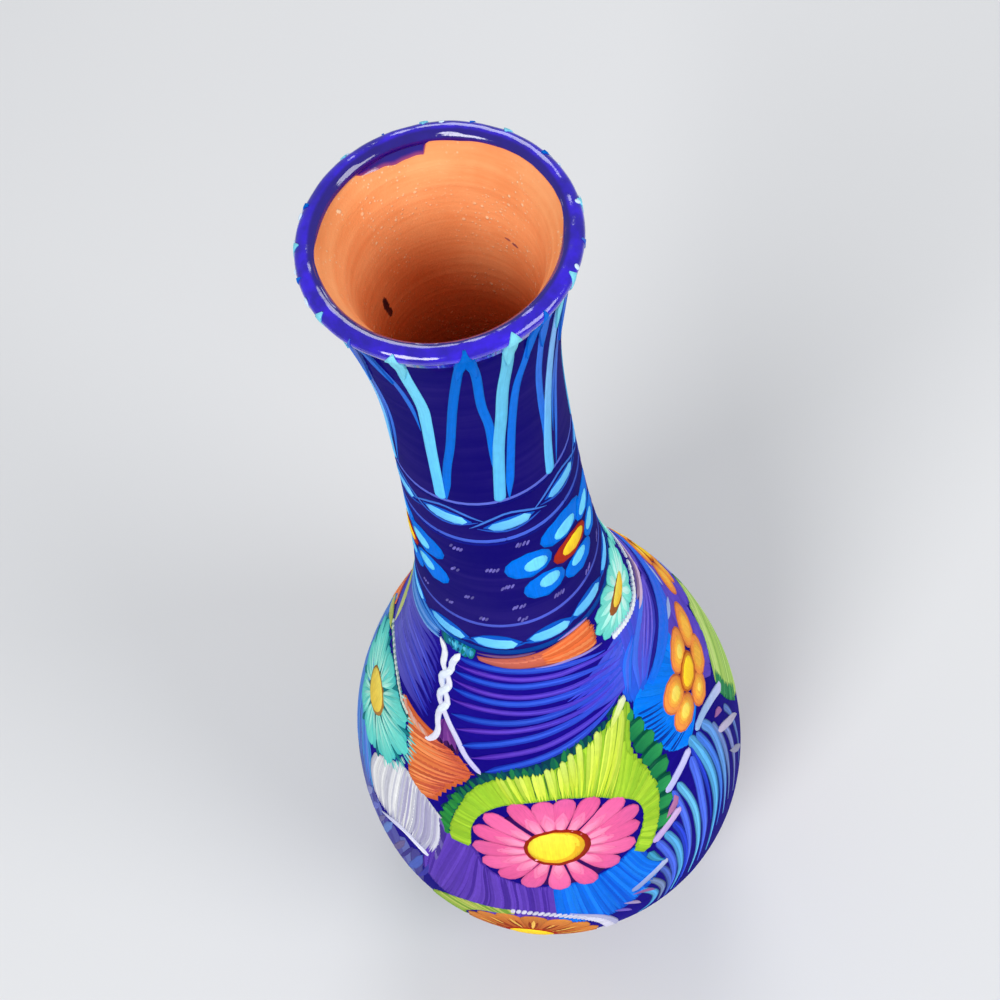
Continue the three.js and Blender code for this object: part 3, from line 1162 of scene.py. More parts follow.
@dataclass
class NeckTicks(Ornament):
    """Little clusters of pale ticks scattered on the neck's middle band."""

    name: str = "neck_ticks"
    seed: int = 13
    sides: tuple[Side, ...] = THREE_WAYS
    spots: tuple[Point, ...] = ((-34, 243.6), (9, 244.2), (-13, 236), (-37, 233.6), (-6, 228.2),
        (-1.5, 219), (25, 217.6), (-23.5, 214.3), (0, 213.6), (-31, 222.4), (52, 214.8), (74, 216))

    def lay(self, brush: Brush) -> None:
        """Paints every cluster."""
        for spot in self.spots:
            for i in range(int(brush.chance.integers(3, 5))):
                x = (i - 1.5) * 0.72 + brush.chance.uniform(-0.15, 0.15)
                y = brush.chance.uniform(-0.4, 0.4)
                low = self.skin.beside(spot, x - 0.35, y - 0.8)
                high = self.skin.beside(spot, x + 0.35, y + 0.8)
                brush.stroke([low, high], Touch(0.55, ROUND, 0.4, ROUND, 0.4, 0.02), 0x6860B0, WASH,
                    None, 0.3)


@dataclass
class NeckFlowers(Ornament):
    """Three azure flowers round the neck, each with six petals and a yellow heart."""

    name: str = "neck_flowers"
    seed: int = 14
    sides: tuple[Side, ...] = (Side(), Side(-131), Side(114))
    centre: Point = (43.0, 231.2)
    petals: tuple[tuple[float, float, float, float], ...] = ((40.5, 241.0, 6.4, 4.8),
        (10.5, 235.0, 5.2, 4.9), (18.0, 224.6, 4.9, 4.8), (47.0, 222.4, 5.0, 4.2),
        (72.0, 227.0, 4.9, 4.8), (69.0, 237.4, 5.6, 4.9))

    def lay(self, brush: Brush) -> None:
        """Paints one flower."""
        for azimuth, side, across, up in self.petals:
            petal = (azimuth, side)
            brush.oval(petal, (across, up), AZURE, WASH, 0.04)
            x = math.radians(azimuth - self.centre[0]) * 18.2
            y = side - self.centre[1]
            inward = 1.5 / math.hypot(x, y)
            brush.oval(self.skin.beside(petal, -x * inward, -y * inward), (across * 0.5, up * 0.52),
                0x70D4FA, FIELD, 0.03)
        brush.oval(self.centre, (5.4, 4.1), RED_BROWN, FIELD_TOP)
        brush.oval((45.0, 231.3), (3.6, 2.7), AMBER, EDGE, 0.12, YELLOW)


@dataclass
class CollarBand(Ornament):
    """The collar under the neck: turquoise tufts, an orange feather and a mint half flower."""

    name: str = "collar_band"
    seed: int = 15
    centre: Point = (69.0, 190.9)

    def lay(self, brush: Brush) -> None:
        """Paints the collar."""
        self._band(brush)
        self._feather(brush)
        self._half_flower(brush)
        self._lace(brush)

    def _band(self, brush: Brush) -> None:
        """Paints the pale blue band and the turquoise tufts."""
        brush.sweep([[(-101, 199.6), (-101, 195.6), (-101, 191.5)],
            [(-84, 199.4), (-84, 196), (-85, 192.6)], [(-57, 199), (-58, 197), (-57, 194.6)]], 5,
            Touch(2.2, BLUNT, 0.05, POINT, 0.25), (0x387ACE, 0x6E9EDE, 0x5C90D8), FIELD, wander=0.1)
        brush.stroke([(-88, 202.4), (-72, 201.4), (-56, 199.6), (-44, 198.8)], taper(1.5, 0.3, 0.3),
            0x3C82D2, FIELD)
        brush.sweep([[(-56, 199.4), (-44, 199.6), (-33.4, 199.2)],
            [(-54, 195.4), (-46, 194.4), (-36.6, 193.4)]], 18, Touch(1.3, ROUND, 0.2, ROUND, 0.3),
            (0x126E8C, 0x2896B8, 0x0A4E78, 0x0E746E, 0x1E84B0), EDGE, shuffle=True, fray=0.3, wander=0.4)
        brush.sweep([[(-50, 198.6), (-42, 198.8), (-33.6, 198.4)],
            [(-49, 195.8), (-42, 195.4), (-35, 194.2)]], 14, taper(0.7, 0.4, 0.5),
            (0x46AACE, 0x3092C0, 0x60C4DE), PETAL, shuffle=True, fray=0.5, wander=0.5)

    def _feather(self, brush: Brush) -> None:
        """Paints the orange feather, thin and rosy at its left end."""
        deep, mid, light = 0xB24A32, 0xE06A38, 0xF28C54
        brush.sweep([[(-32, 196.6), (-31.6, 196), (-31, 195.2)], [(-14, 197), (-13, 195.5), (-12, 194)],
            [(4, 197.8), (5, 195.4), (6, 193)], [(24, 199.2), (25, 195), (25, 190.4)],
            [(38.4, 199.4), (40.6, 194.6), (38.6, 188.8)]], 17, taper(1.15, 0.2, 0.08),
            (0x965460, 0xB25C54, 0xC46C60), EDGE, shuffle=True, fray=0.12, wander=0.35,
            ends=(deep, mid, light))
        brush.sweep([[(4, 197.4), (6, 193.4)], [(24, 198.8), (25, 191)], [(38.8, 199), (38.4, 189.4)]],
            11, Touch(1.5, POINT, 0.3, BLUNT, 0.08), (mid, light, 0xE87642), PETAL, shuffle=True,
            fray=0.15)
        edge = taper(0.8, 0.3, 0.2)
        brush.stroke([(0, 192.7), (17, 191.1), (29, 189.2), (40, 187.2)], edge, 0x9686CE, PETAL)
        brush.stroke([(-32, 197.9), (-14, 198.2), (2, 198.8)], edge, 0x7A5484, EDGE)
        brush.stroke([(16, 199.9), (28, 200.3), (38, 200)], edge, 0xA084C8, EDGE)

    def _half_flower(self, brush: Brush) -> None:
        """Paints the mint flower that the collar's edge cuts."""
        brush.oval(self.centre, (11.6, 9.0), 0x1E8C92, FIELD_TOP, 0.01)
        for i in range(13):
            a = 8 + i * 360 / 13
            root = (3.6, 2.4, a)
            brush.stroke(self.spoke(root, (12.4, 10.2, a)), Touch(4.7, FAN, 0.7, ROUND, 0.3, 0.03),
                0x96F2E0, PETAL, 0x64DACE)
            far = brush.chance.uniform(0.78, 0.94)
            brush.stroke(self.spoke(root, (12 * far, 9.6 * far, a + 3)),
                Touch(2.3, FAN, 0.7, POINT, 0.4), 0xD6FCF2, GLEAM, 0x96F0E0)
        brush.oval((65.6, 191.2), (5.3, 3.0), 0x96582C, HEART_RING)
        brush.oval((68.6, 191.2), (4.4, 2.4), AMBER, HEART, 0.1, 0xF6E860)

    def _lace(self, brush: Brush) -> None:
        """Paints the white lace under the flower, and the rosy strokes that follow it."""
        lace = [(48, 184.5), (54.4, 183.3), (61.9, 181.6), (70.2, 179.9), (77.8, 179.2), (85, 179.3),
            (96, 178.6)]
        count = 38
        for i in range(count):
            here = along_rail(lace, i / (count - 1))
            there = along_rail(lace, min(1, (i + 1) / (count - 1)))
            lift = 0.9 if i % 2 else -0.9
            brush.stroke([self.skin.beside(here, 0, lift), self.skin.beside(there, 0, -lift)],
                Touch(0.85, ROUND, 0.2, ROUND, 0.2), WHITE, HEART)
            if i % 2 == 0:
                brush.stroke([self.skin.beside(here, 0, 1.8), self.skin.beside(here, 0.2, 0.2)],
                    Touch(0.7, ROUND, 0.3, POINT, 0.4), 0xB0C8DE, GLEAM)
        brush.stroke(lace, taper(1.3, 0.05, 0.1), 0xCCD6EA, GLEAM)
        for dx, dy, tone, width in ((0, 0, 0xD0B4D4, 2.0), (3, 2.0, 0x967A9E, 1.5),
                (5, 3.9, 0x68549C, 1.3)):
            brush.stroke([(73.4 + dx, 175 + dy), (84, 173 + dy), (93.7, 171.4 + dy), (102, 170 + dy)],
                Touch(width, POINT, 0.2, ROUND, 0.05, 0.02), tone, FIELD_TOP)


@dataclass
class SwagStrokes(Ornament):
    """Blue and purple strokes draped across the shoulder."""

    name: str = "shoulder_swag"
    seed: int = 16
    blue: tuple[tuple[Point, ...], ...] = (((-45, 192.6), (-28, 192.8), (-8, 192.2), (8, 190.8),
        (24, 188), (40, 184)), ((-46, 186), (-30, 186.4), (-3, 185.9), (10, 184.9), (24, 183),
        (44, 178.6)), ((-47, 178.8), (-32, 179.3), (-10, 179.3), (8, 178.9), (26, 177.4), (48, 173.6)),
        ((-46, 168.4), (-38, 169.8), (-24, 171.4), (-4, 172.8), (14, 173.6), (46, 172.6)),
        ((-40, 158.2), (-30, 161.6), (-17, 164.8), (-3, 166.9), (10, 168.5), (40, 170.2)),
        ((-29, 151.4), (-20, 154.8), (-8, 157.8), (6, 160.8), (18, 163.4), (34, 166.4)))
    purple: tuple[tuple[Point, ...], ...] = (((-45, 189.2), (-28, 189.6), (-3, 188.5), (12, 187.2),
        (24, 186), (38, 183.2), (52, 180.6)),
        ((-47, 182.2), (-30, 182.3), (-2, 181.7), (16, 180.6), (30, 179.4), (46, 176.2)),
        ((-47.5, 174), (-34, 175.4), (-22, 175.9), (-3, 175.6), (12, 175), (34, 174)),
        ((-43, 163.6), (-34, 166.2), (-22, 168.2), (-8, 169.8), (8, 170.7), (36, 171.6)),
        ((-35, 155.2), (-20, 159.6), (-3, 162.6), (10, 164.8), (24, 166.3), (42, 167.2)))

    def lay(self, brush: Brush) -> None:
        """Paints the drape and the lighter place where it gathers."""
        brush.sweep([[(10, 178), (14, 173), (14, 169)], [(30, 181), (34, 174), (32, 168)],
            [(52, 184), (54, 176), (46, 166.6)]], 9, taper(2.9, 0.6, 0.2),
            (0x3036CC, 0x424CDA, 0x383ED2), WASH, wander=0.1, ends=(0x5464E6, 0x4A58E0))
        for path in self.blue:
            brush.stroke(path, taper(2.3, 0.08, 0.35, 0.0), 0x1832B0, FIELD, 0x3854DC, 0.08)
            core = [(az, side + 0.2) for az, side in path[:-1]]
            brush.stroke(core, taper(1.2, 0.2, 0.5), 0x224EC8, EDGE, 0x4062E2)
        for path in self.purple:
            brush.stroke(path, taper(1.8, 0.12, 0.35, 0.0), 0x4824A6, FIELD, 0x4E42D2, 0.08)
            core = [(az, side + 0.15) for az, side in path[:-1]]
            brush.stroke(core, taper(0.95, 0.3, 0.5), 0x6038BC, EDGE, 0x5C4CD6)


@dataclass
class SideArcs(Ornament):
    """The bands of violet and blue on each side of the drape."""

    name: str = "shoulder_side_arcs"
    seed: int = 29

    def lay(self, brush: Brush) -> None:
        """Paints the left arcs, then the right ones."""
        brush.sweep([[(-101, 191.4), (-101, 175), (-101, 160.6)], [(-86, 192.6), (-85, 176), (-84, 160)],
            [(-66, 193.4), (-65, 177), (-67, 158.6)], [(-56, 190), (-57, 172), (-60, 157)]], 9,
            Touch(5.4, BLUNT, 0.03, POINT, 0.75, 0.0), (0x6062C0, 0x5A5ABE, 0x6664C6), WASH, wander=0.05,
            ends=(0x22189C, 0x281EA2))
        brush.sweep([[(-94, 190), (-94, 176), (-92, 163)], [(-76, 190.4), (-76, 176), (-76, 162)],
            [(-57.6, 185), (-57.6, 170), (-58.4, 159)]], 7, taper(2.8, 0.5, 0.7),
            (0x5E5EC8, 0x5858C6, 0x6668D0), FIELD, wander=0.1, ends=(0x2822AC, 0x2C32BC))
        brush.sweep([[(-84, 186), (-84, 166)], [(-70, 184), (-70, 163)], [(-57, 178), (-58, 158.6)]], 4,
            taper(1.2, 0.5, 0.5), (0x686CD6, 0x4A54CC), FIELD_TOP, wander=0.2, ends=(0x2E3CC4,))
        brush.sweep([[(47, 184), (62, 181), (80, 179)], [(45, 175), (56, 173), (70, 172)],
            [(37.4, 162), (42, 158.8), (51, 158)]], 8, Touch(3.8, BLUNT, 0.05, POINT, 0.2),
            (0x4254DE, 0x3A5CE2, 0x4C50DA), WASH, wander=0.06, ends=(0x1860E2, 0x205CDC))
        violets = (0x4876EA, 0x5862DE, 0x685AD6, 0x6050D0, 0x6A54D4, 0x5A44C8, 0x4C38BA, 0x382AA6)
        brush.sweep([[(84, 173), (94, 168.6), (101, 164.6)], [(66, 174.4), (72, 169.6), (80, 164.4)],
            [(53, 171.4), (58.6, 167.2), (66, 163.2)], [(44.6, 161), (48.4, 161.8), (53, 160.6)]], 8,
            Touch(3.0, BLUNT, 0.03, POINT, 0.3), violets, FIELD, wander=0.06,
            ends=(0x3E68E8, 0x465CE2, 0x4E54DA))
        brush.sweep([[(81, 171.8), (95, 166.8)], [(66, 170.8), (75, 165.6)], [(55, 166.8), (60, 164)]],
            5, taper(0.9, 0.4, 0.5), (0x7A6AE2, 0x483CBC), FIELD_TOP, wander=0.3)
        brush.stroke([(96, 165), (83.4, 162.6), (75, 162), (68, 162.4), (58.9, 161.9), (51, 160.4)],
            Touch(2.6, BLUNT, 0.03, POINT, 0.3), 0x221892, FIELD_TOP)
        brush.sweep([[(104, 160), (108, 151.6)], [(86, 160.4), (88, 154.6)], [(67, 160.6), (70, 156.6)],
            [(50, 159.8), (52, 157)]], 5, Touch(2.7, BLUNT, 0.03, POINT, 0.4),
            (0x3E68E4, 0x3462E2, 0x2468E8), EDGE, wander=0.08, ends=(0x1474F0,))
        brush.sweep([[(38.6, 166), (40.6, 163)], [(47, 174.6), (49, 171)], [(58, 176.4), (60, 174.8)]],
            3, taper(1.8, 0.4, 0.5), (0x2E6EEC, 0x4668E4), EDGE, wander=0.12)


@dataclass
class RopeOrnament(Ornament):
    """A white two-strand rope hung from the collar, with its ends let down apart."""

    name: str = "white_rope"
    seed: int = 17
    top: float = 190.2
    half_turn: float = 7.2
    reach: float = 1.3

    def strand(self, sign: int, first: float, last: float) -> list[Point]:
        """Returns a strand's path between two numbers of half turns.

        Args:
            sign: Which strand, 1 or -1.
            first: Half turns at which it starts, from the topmost crossing.
            last: Half turns at which it ends.

        Returns:
            The addresses that it passes.
        """
        path = []
        for turn in np.linspace(first, last, max(3, round((last - first) * 5) + 1)):
            side = self.top - turn * self.half_turn
            azimuth = -50.6 - 0.9 * math.sin(turn / 3.4 * math.pi)
            path.append(self.skin.beside((azimuth, side), sign * self.reach * math.sin(math.pi * turn),
                0))
        return path

    def lay(self, brush: Brush) -> None:
        """Paints the strands, their crossings and the ends."""
        shade = 0xB0BEE2
        thick = Touch(1.7, POINT, 0.09, ROUND, 0.05, 0.12)
        right_head = [(-42.6, 194.8), (-44.6, 192.6), (-46.6, 190.4)]
        left_head = [(-57, 195.8), (-54.6, 193.8), (-53.2, 191.4)]
        left_tail = [(-52.6, 165.6), (-52.4, 162.4), (-51.4, 159.4), (-52, 156.4), (-54, 153.6),
            (-56.8, 151.6)]
        right_tail = [(-48.8, 166.6), (-46.4, 164.2), (-42.2, 160.4), (-37.2, 155), (-30.6, 150.2)]
        brush.stroke([*left_head, *self.strand(-1, 0.35, 3), *right_tail], thick, WHITE, FIELD_TOP,
            0xC4BEEE, 0.02)
        brush.stroke([*right_head, *self.strand(1, 0.35, 3), *left_tail], thick, 0xDEE6F4, EDGE,
            0xE6E4F4, 0.02)
        for turn in range(1, 4):
            sign = 1 if turn % 2 else -1
            over = Touch(1.85, ROUND, 0.25, ROUND, 0.25, 0.2)
            brush.stroke(self.strand(sign, turn - 0.42, turn + (0.3 if turn == 3 else 0.5)), over,
                0xE8F0FC, GLEAM, 0xDCE6F8, 0.02)
        brush.stroke(right_head, Touch(1.6, POINT, 0.5, ROUND, 0.2, 0.14), WHITE, PETAL)
        brush.stroke(left_head, Touch(1.7, POINT, 0.4, ROUND, 0.2, 0.14), WHITE, PETAL)
        glint = taper(0.7, 0.4, 0.4)
        for path in (left_tail, right_tail):
            brush.stroke(path[1:], glint, 0xF4F0FC, PETAL)
        brush.sweep([[(-49.8, 164.4), (-47.6, 164.4)], [(-50.4, 155), (-47, 155.4), (-41, 155.2)]], 7,
            taper(2.0, 0.2, 0.3), (0x70348A, 0x582278, 0x824296), FIELD)
        brush.sweep([[(-50.6, 157.4), (-42.4, 157.4)], [(-51.4, 154.4), (-40, 153.8)]], 6,
            taper(1.5, 0.3, 0.3), (0x280C40, 0x46185A), FIELD, shuffle=True)
        brush.stroke([(-53, 187), (-52.6, 178), (-53, 168)], taper(1.2, 0.2, 0.2), shade, WASH)


@dataclass
class OrangeFan(Ornament):
    """A fan of fine orange strokes beside the rope's ends."""

    name: str = "orange_fan"
    seed: int = 18

    def lay(self, brush: Brush) -> None:
        """Paints the fan."""
        start = [(-76, 155.6), (-70, 153.4), (-66, 149), (-63.4, 143.6), (-61.6, 138), (-60, 132.6),
            (-54, 129.6)]
        end = [(-57, 153.4), (-49.5, 154.4), (-42.5, 154.4), (-33, 150), (-37.6, 145.4), (-43.2, 139.8),
            (-47.4, 132.6)]
        brush.sweep([start, end], 46, Touch(1.9, ROUND, 0.1, POINT, 0.3), (0xE2763A, 0xD86A34, 0xE88248),
            FIELD_TOP, shuffle=True, fray=0.1, wash=0xCE6234, ends=(0xCE5C40, 0xBE5446))
        brush.sweep([start, end], 54, taper(0.9, 0.3, 0.4),
            (0xF29658, 0xCE6236, 0xEC8446, 0xF6A264, 0xD8683C), EDGE, shuffle=True, fray=0.22,
            wander=0.5, ends=(0xE47650, 0xB2463E, 0xE06E48))
        brush.sweep([[(-75, 157.2), (-66, 155.2), (-58, 154.8)],
            [(-70, 153.4), (-62, 152.6), (-54, 153)]], 14, taper(0.9, 0.4, 0.3), (0xD6AA9C, 0xDE8C6E),
            PETAL, shuffle=True, wander=0.4)


@dataclass
class WhiteFeather(Ornament):
    """A feather of white and grey hairs with a thick white edge, and the dark stripes under it."""

    name: str = "white_feather"
    seed: int = 19

    def lay(self, brush: Brush) -> None:
        """Paints the feather and its edge."""
        rails = [[(-77, 120), (-71, 126.6), (-62.4, 132.6), (-53, 130), (-43.6, 124.6)],
            [(-78, 111), (-71, 114), (-62, 116), (-52, 114.4), (-43.8, 112.6)],
            [(-74, 99), (-68, 99.6), (-62, 101), (-54, 101.8), (-46.8, 100.4)]]
        brush.sweep(rails, 34, Touch(2.3, ROUND, 0.1, POINT, 0.3), (0xCCCCD4, 0xD6D6DA, 0xC4C4D0), FIELD,
            fray=0.1, ends=(0xACACC8, 0xB6B6CC))
        brush.sweep([rail[:4] for rail in rails], 46, taper(1.0, 0.25, 0.35),
            (0xE4E4E6, 0xDCDCE2, 0xC4C4D0, 0xECECEC), FIELD_TOP, shuffle=True, fray=0.25, wander=0.5)
        brush.sweep([rail[2:] for rail in rails], 30, taper(1.0, 0.2, 0.4),
            (0xD0D0DE, 0xA4A0C2, 0xBEBED2, 0xB0ACCA), FIELD_TOP, shuffle=True, fray=0.3, wander=0.5)
        brush.sweep([[(-45, 125), (-43.6, 117), (-45, 106)], [(-42.6, 120), (-43, 112), (-45.6, 100)]],
            10, taper(1.2, 0.3, 0.4), (0x6C60A8, 0x46348C), EDGE, shuffle=True)
        brush.stroke([(-48.6, 99.4), (-51, 101.2), (-58.7, 102.6), (-65.3, 99), (-70, 95)],
            Touch(3.0, ROUND, 0.06, POINT, 0.5, 0.08), 0xDEDEF4, EDGE, 0xC4C8E6)
        brush.stroke([(-48.8, 99.8), (-55, 102), (-62, 101)], Touch(1.3, ROUND, 0.1, POINT, 0.5, 0.05),
            0xF4F4FA, PETAL)
        brush.sweep([[(-98, 118), (-86, 108), (-70, 98), (-50, 98)],
            [(-90, 100), (-80, 92), (-68, 84), (-52, 84)], [(-80, 80), (-72, 70), (-64, 62), (-54, 62)]],
            12, taper(4.6, 0.1, 0.4, 0.0), (0x5454A0, 0x666EB4, 0x4A4696), WASH, wander=0.08)
        below = ((-63.7, 98.5, -67.8, 86, -72.5, 70, 2.4, 0x6886CE),
            (-57.8, 96, -62, 83.5, -68, 66, 1.9, 0x706498),
            (-50.6, 97, -53.7, 86, -60.6, 66, 2.6, 0x5268C4),
            (-67.6, 96, -72, 83, -76, 70, 1.5, 0x7470A6), (-71.5, 97, -76, 85, -80, 74, 2.2, 0x6870BE),
            (-76, 99, -80, 88, -84, 78, 2.4, 0x8C92C8), (-54.4, 97, -58, 86, -64, 68, 1.2, 0x3E368A),
            (-47.4, 98, -50, 86, -56, 68, 1.4, 0x3E3CAA))
        for a0, s0, a1, s1, a2, s2, width, colour in below:
            brush.stroke([(a0, s0), (a1, s1), (a2, s2)], taper(width, 0.2, 0.4), colour, FIELD)


@dataclass
class PinkDaisy(Ornament):
    """The large daisy: pink petals, each with a paler inner stroke, and a yellow heart."""

    name: str = "pink_daisy"
    seed: int = 20
    centre: Point = (-5.9, 122.6)
    tips: tuple[Point, ...] = ((-18.8, 141.2), (-8.6, 142), (0.2, 141.8), (10.2, 139.4), (19.4, 134.2),
        (23.2, 127), (21.6, 120.2), (18.2, 113), (11.4, 107.6), (2.6, 101.8), (-7.0, 101.2),
        (-16.4, 103), (-24, 107.2), (-29.4, 112.4), (-32.8, 119.4), (-32.8, 127.8), (-28.8, 135))

    def lay(self, brush: Brush) -> None:
        """Paints the daisy."""
        brush.oval((-5.4, 121.4), (18.8, 17.4), 0x340A58, EDGE, 0.01)
        pinks = ((0xF068A0, 0xE05A98), (0xF474A8, 0xE862A0), (0xEE6298, 0xDE60A0))
        for i, tip in enumerate(self.tips):
            x = math.radians(tip[0] - self.centre[0]) * float(self.skin.radius(tip[1]))
            y = tip[1] - self.centre[1]
            angle = math.degrees(math.atan2(y, x))
            root = self.around(7.0, 6.6, angle)
            width = 6.3 if abs(y) < 12 else 5.8
            start, end = pinks[i % 3]
            brush.stroke([root, tip], Touch(width, FAN, 0.62, ROUND, 0.24, 0.05), start, PETAL, end,
                0.04)
            length = math.hypot(x, y)
            for share, wide, colour in ((0.74, 3.7, 0xF684B0), (0.66, 2.5, 0xFCA0C2)):
                layer = GLEAM if wide > 3 else HEART_RING
                outer = (length * share, length * share, angle)
                brush.stroke(self.spoke((7.0, 6.6, angle), outer), Touch(wide, FAN, 0.5, POINT, 0.45),
                    colour, layer, 0xF478AA, 0.03)
        brush.oval(self.skin.beside(self.centre, 0.3, -0.2), (8.5, 8.0), 0x9E2814, HEART, 0.04)
        brush.oval(self.centre, (7.2, 6.8), 0xECB428, SHINE, 0.14)
        brush.oval(self.skin.beside(self.centre, -0.5, 0.6), (6.5, 6.0), 0xFADE34, TOP, 0.16, 0xFFE846)


@dataclass
class LimeCrown(Ornament):
    """The lime crown round the daisy, drawn out to a tip, with dark green dabs round it."""

    name: str = "lime_crown"
    seed: int = 21
    inner: tuple[Point, ...] = ((-33.2, 119.4), (-33.4, 124), (-33.2, 127.5), (-31.8, 131.5),
        (-29.5, 134.8), (-26.5, 137.3), (-23, 139.4), (-18.6, 140.8), (-14, 141.6), (-10, 142),
        (-5, 142.2), (0, 142), (4.5, 140.8), (8, 139.8), (11, 138.6), (13.5, 137.2), (15.5, 135.8),
        (17.5, 134.4), (19.5, 133), (21.4, 131.4), (23, 129.2), (24, 126), (23.8, 122.4), (22, 118),
        (19.8, 114), (18.4, 110.4))
    outer: tuple[Point, ...] = ((-40.9, 119.6), (-40.9, 123.5), (-40.3, 128), (-39, 132.8),
        (-37.1, 137.4), (-34.4, 142.6), (-29.8, 147.2), (-24.4, 149.8), (-18.4, 151.2), (-11.6, 152.2),
        (-5.3, 152.8), (1.1, 154.2), (7.6, 156.6), (17, 158.8), (26.5, 161.6), (36, 164.8), (31, 157.6),
        (28, 151), (29, 145), (31.2, 138.6), (32.2, 132.6), (31.8, 126.6), (30, 120.8), (27.4, 115),
        (24, 109.6), (21.6, 106))
    green: tuple[Point, ...] = ((-44.6, 120.4), (-45, 125.5), (-44.6, 130), (-42.8, 135), (-40.2, 139.8),
        (-37, 144.8), (-32.4, 149.2), (-26.5, 152.6), (-19.6, 154.8), (-12.4, 156), (-5.4, 157.6),
        (1.6, 159.6), (9, 161.6), (17, 162.2), (26, 164), (36, 166.2))

    def lay(self, brush: Brush) -> None:
        """Paints the crown and the dabs."""
        top = len(self.green)
        brush.sweep([self.outer[:top], self.green], 15, Touch(5.0, BLUNT, 0.1, BLUNT, 0.1),
            (0x083E4E, 0x063454), WASH, wander=0.05, fray=0.1)
        brush.sweep([self.inner[:top], self.outer[:top], self.green], 38, taper(1.8, 0.4, 0.2),
            (0x12624C, 0x0A4C54, 0x1E7646, 0x0E5A52), FIELD, shuffle=True, wander=0.4, fray=0.3)
        brush.sweep([self.outer[:5], self.green[:5]], 12, Touch(1.9, BLUNT, 0.1, ROUND, 0.3, 0.03),
            (0x2C8C3E, 0x247C3C), FIELD_TOP, fray=0.3)
        points = (37.6, 39.4, 40.6, 40.8, 39.6, 37.4, 34.8, 31.6)
        for i, end in enumerate(points):
            side = 158.2 - 6.2 * i
            dab = [(end - 10, side - 0.8), (end - 5, side - 0.2), (end, side - 0.5 - i * 0.3)]
            brush.stroke(dab, Touch(6.8, ROUND, 0.2, ROUND, 0.2), 0x0A5640, FIELD)
            brush.stroke(dab, Touch(4.6, ROUND, 0.2, ROUND, 0.2, 0.06), 0x147648, FIELD_TOP, 0x309C54,
                0.1)
        brush.sweep([self.inner, self.outer], 50, Touch(4.6, BLUNT, 0.03, ROUND, 0.1, 0.01), (0x92C02E,),
            EDGE, wander=0.0, fray=0.04)
        lime = (0x9ECA32, 0x96C430, 0xA8D036, 0x8EBC2E)
        brush.sweep([self.inner, self.outer], 110, Touch(1.7, POINT, 0.15, ROUND, 0.1), lime, PETAL,
            shuffle=True, fray=0.06)
        dark = (0x548628, 0x689A2C, 0x48782C)
        brush.sweep([self.inner[8:17], self.outer[8:17]], 26, taper(0.7, 0.8, 0.15), dark, GLEAM,
            shuffle=True, wander=0.5)
        bright = (0xCCE038, 0xD8E848, 0xBCD834, 0xB2D23C)
        brush.sweep([self.inner[7:17], [(az * 1.015, side + 1.0) for az,
            side in self.outer[7:15]] + [self.outer[15], (34, 162.4)]], 34, taper(1.1, 0.4, 0.12),
            bright, HEART_RING, shuffle=True, fray=0.12, wander=0.5, ends=(0xC4DA54, 0xD4E660, 0xBED646))
        for tip in ((-4.6, 154.4), (2.2, 156), (6, 158), (10.4, 160.2), (19.4, 161.4)):
            root = (tip[0] * 0.72 + 0.2, tip[1] - 13)
            brush.stroke([root, tip], Touch(1.5, POINT, 0.5, ROUND, 0.1, 0.04), 0xCEE23E, HEART,
                0xCCE06E, 0.04)
        brush.stroke([(24, 158.4), (30, 161.8), (37.4, 165.4)],
            Touch(2.3, POINT, 0.6, ROUND, 0.15, 0.06), 0xCEE046, HEART, 0xE6ECC4, 0.02)


@dataclass
class LowerFields(Ornament):
    """The violet and azure fields that fan out below the daisy."""

    name: str = "lower_fields"
    seed: int = 22

    def lay(self, brush: Brush) -> None:
        """Paints both fields."""
        fine = taper(1.6, 0.12, 0.25, 0.04)
        brush.sweep([[(-45, 120.5), (-34, 119.5), (-29, 110), (-18, 104), (-8.5, 103)],
            [(-48, 105), (-40, 97), (-29, 91), (-18, 88), (-9, 87)],
            [(-50, 88), (-45, 78), (-33, 73), (-21, 72), (-9.4, 74)]], 92, fine,
            (0x5838AC, 0x6442BA, 0x482A9A, 0x5E3CB4), FIELD, shuffle=True, fray=0.1, wash=0x4A2C9A)
        brush.sweep([[(-8.5, 104), (0, 104), (8, 106), (17, 111)],
            [(-9, 90), (2, 88), (12, 92), (20, 100)], [(-9, 74), (4, 72), (15, 80), (25, 93)]], 56, fine,
            (0x0868E2, 0x167CEE, 0x0654CE, 0x0E72E8), FIELD_TOP, shuffle=True, fray=0.12, wash=0x0850C8)


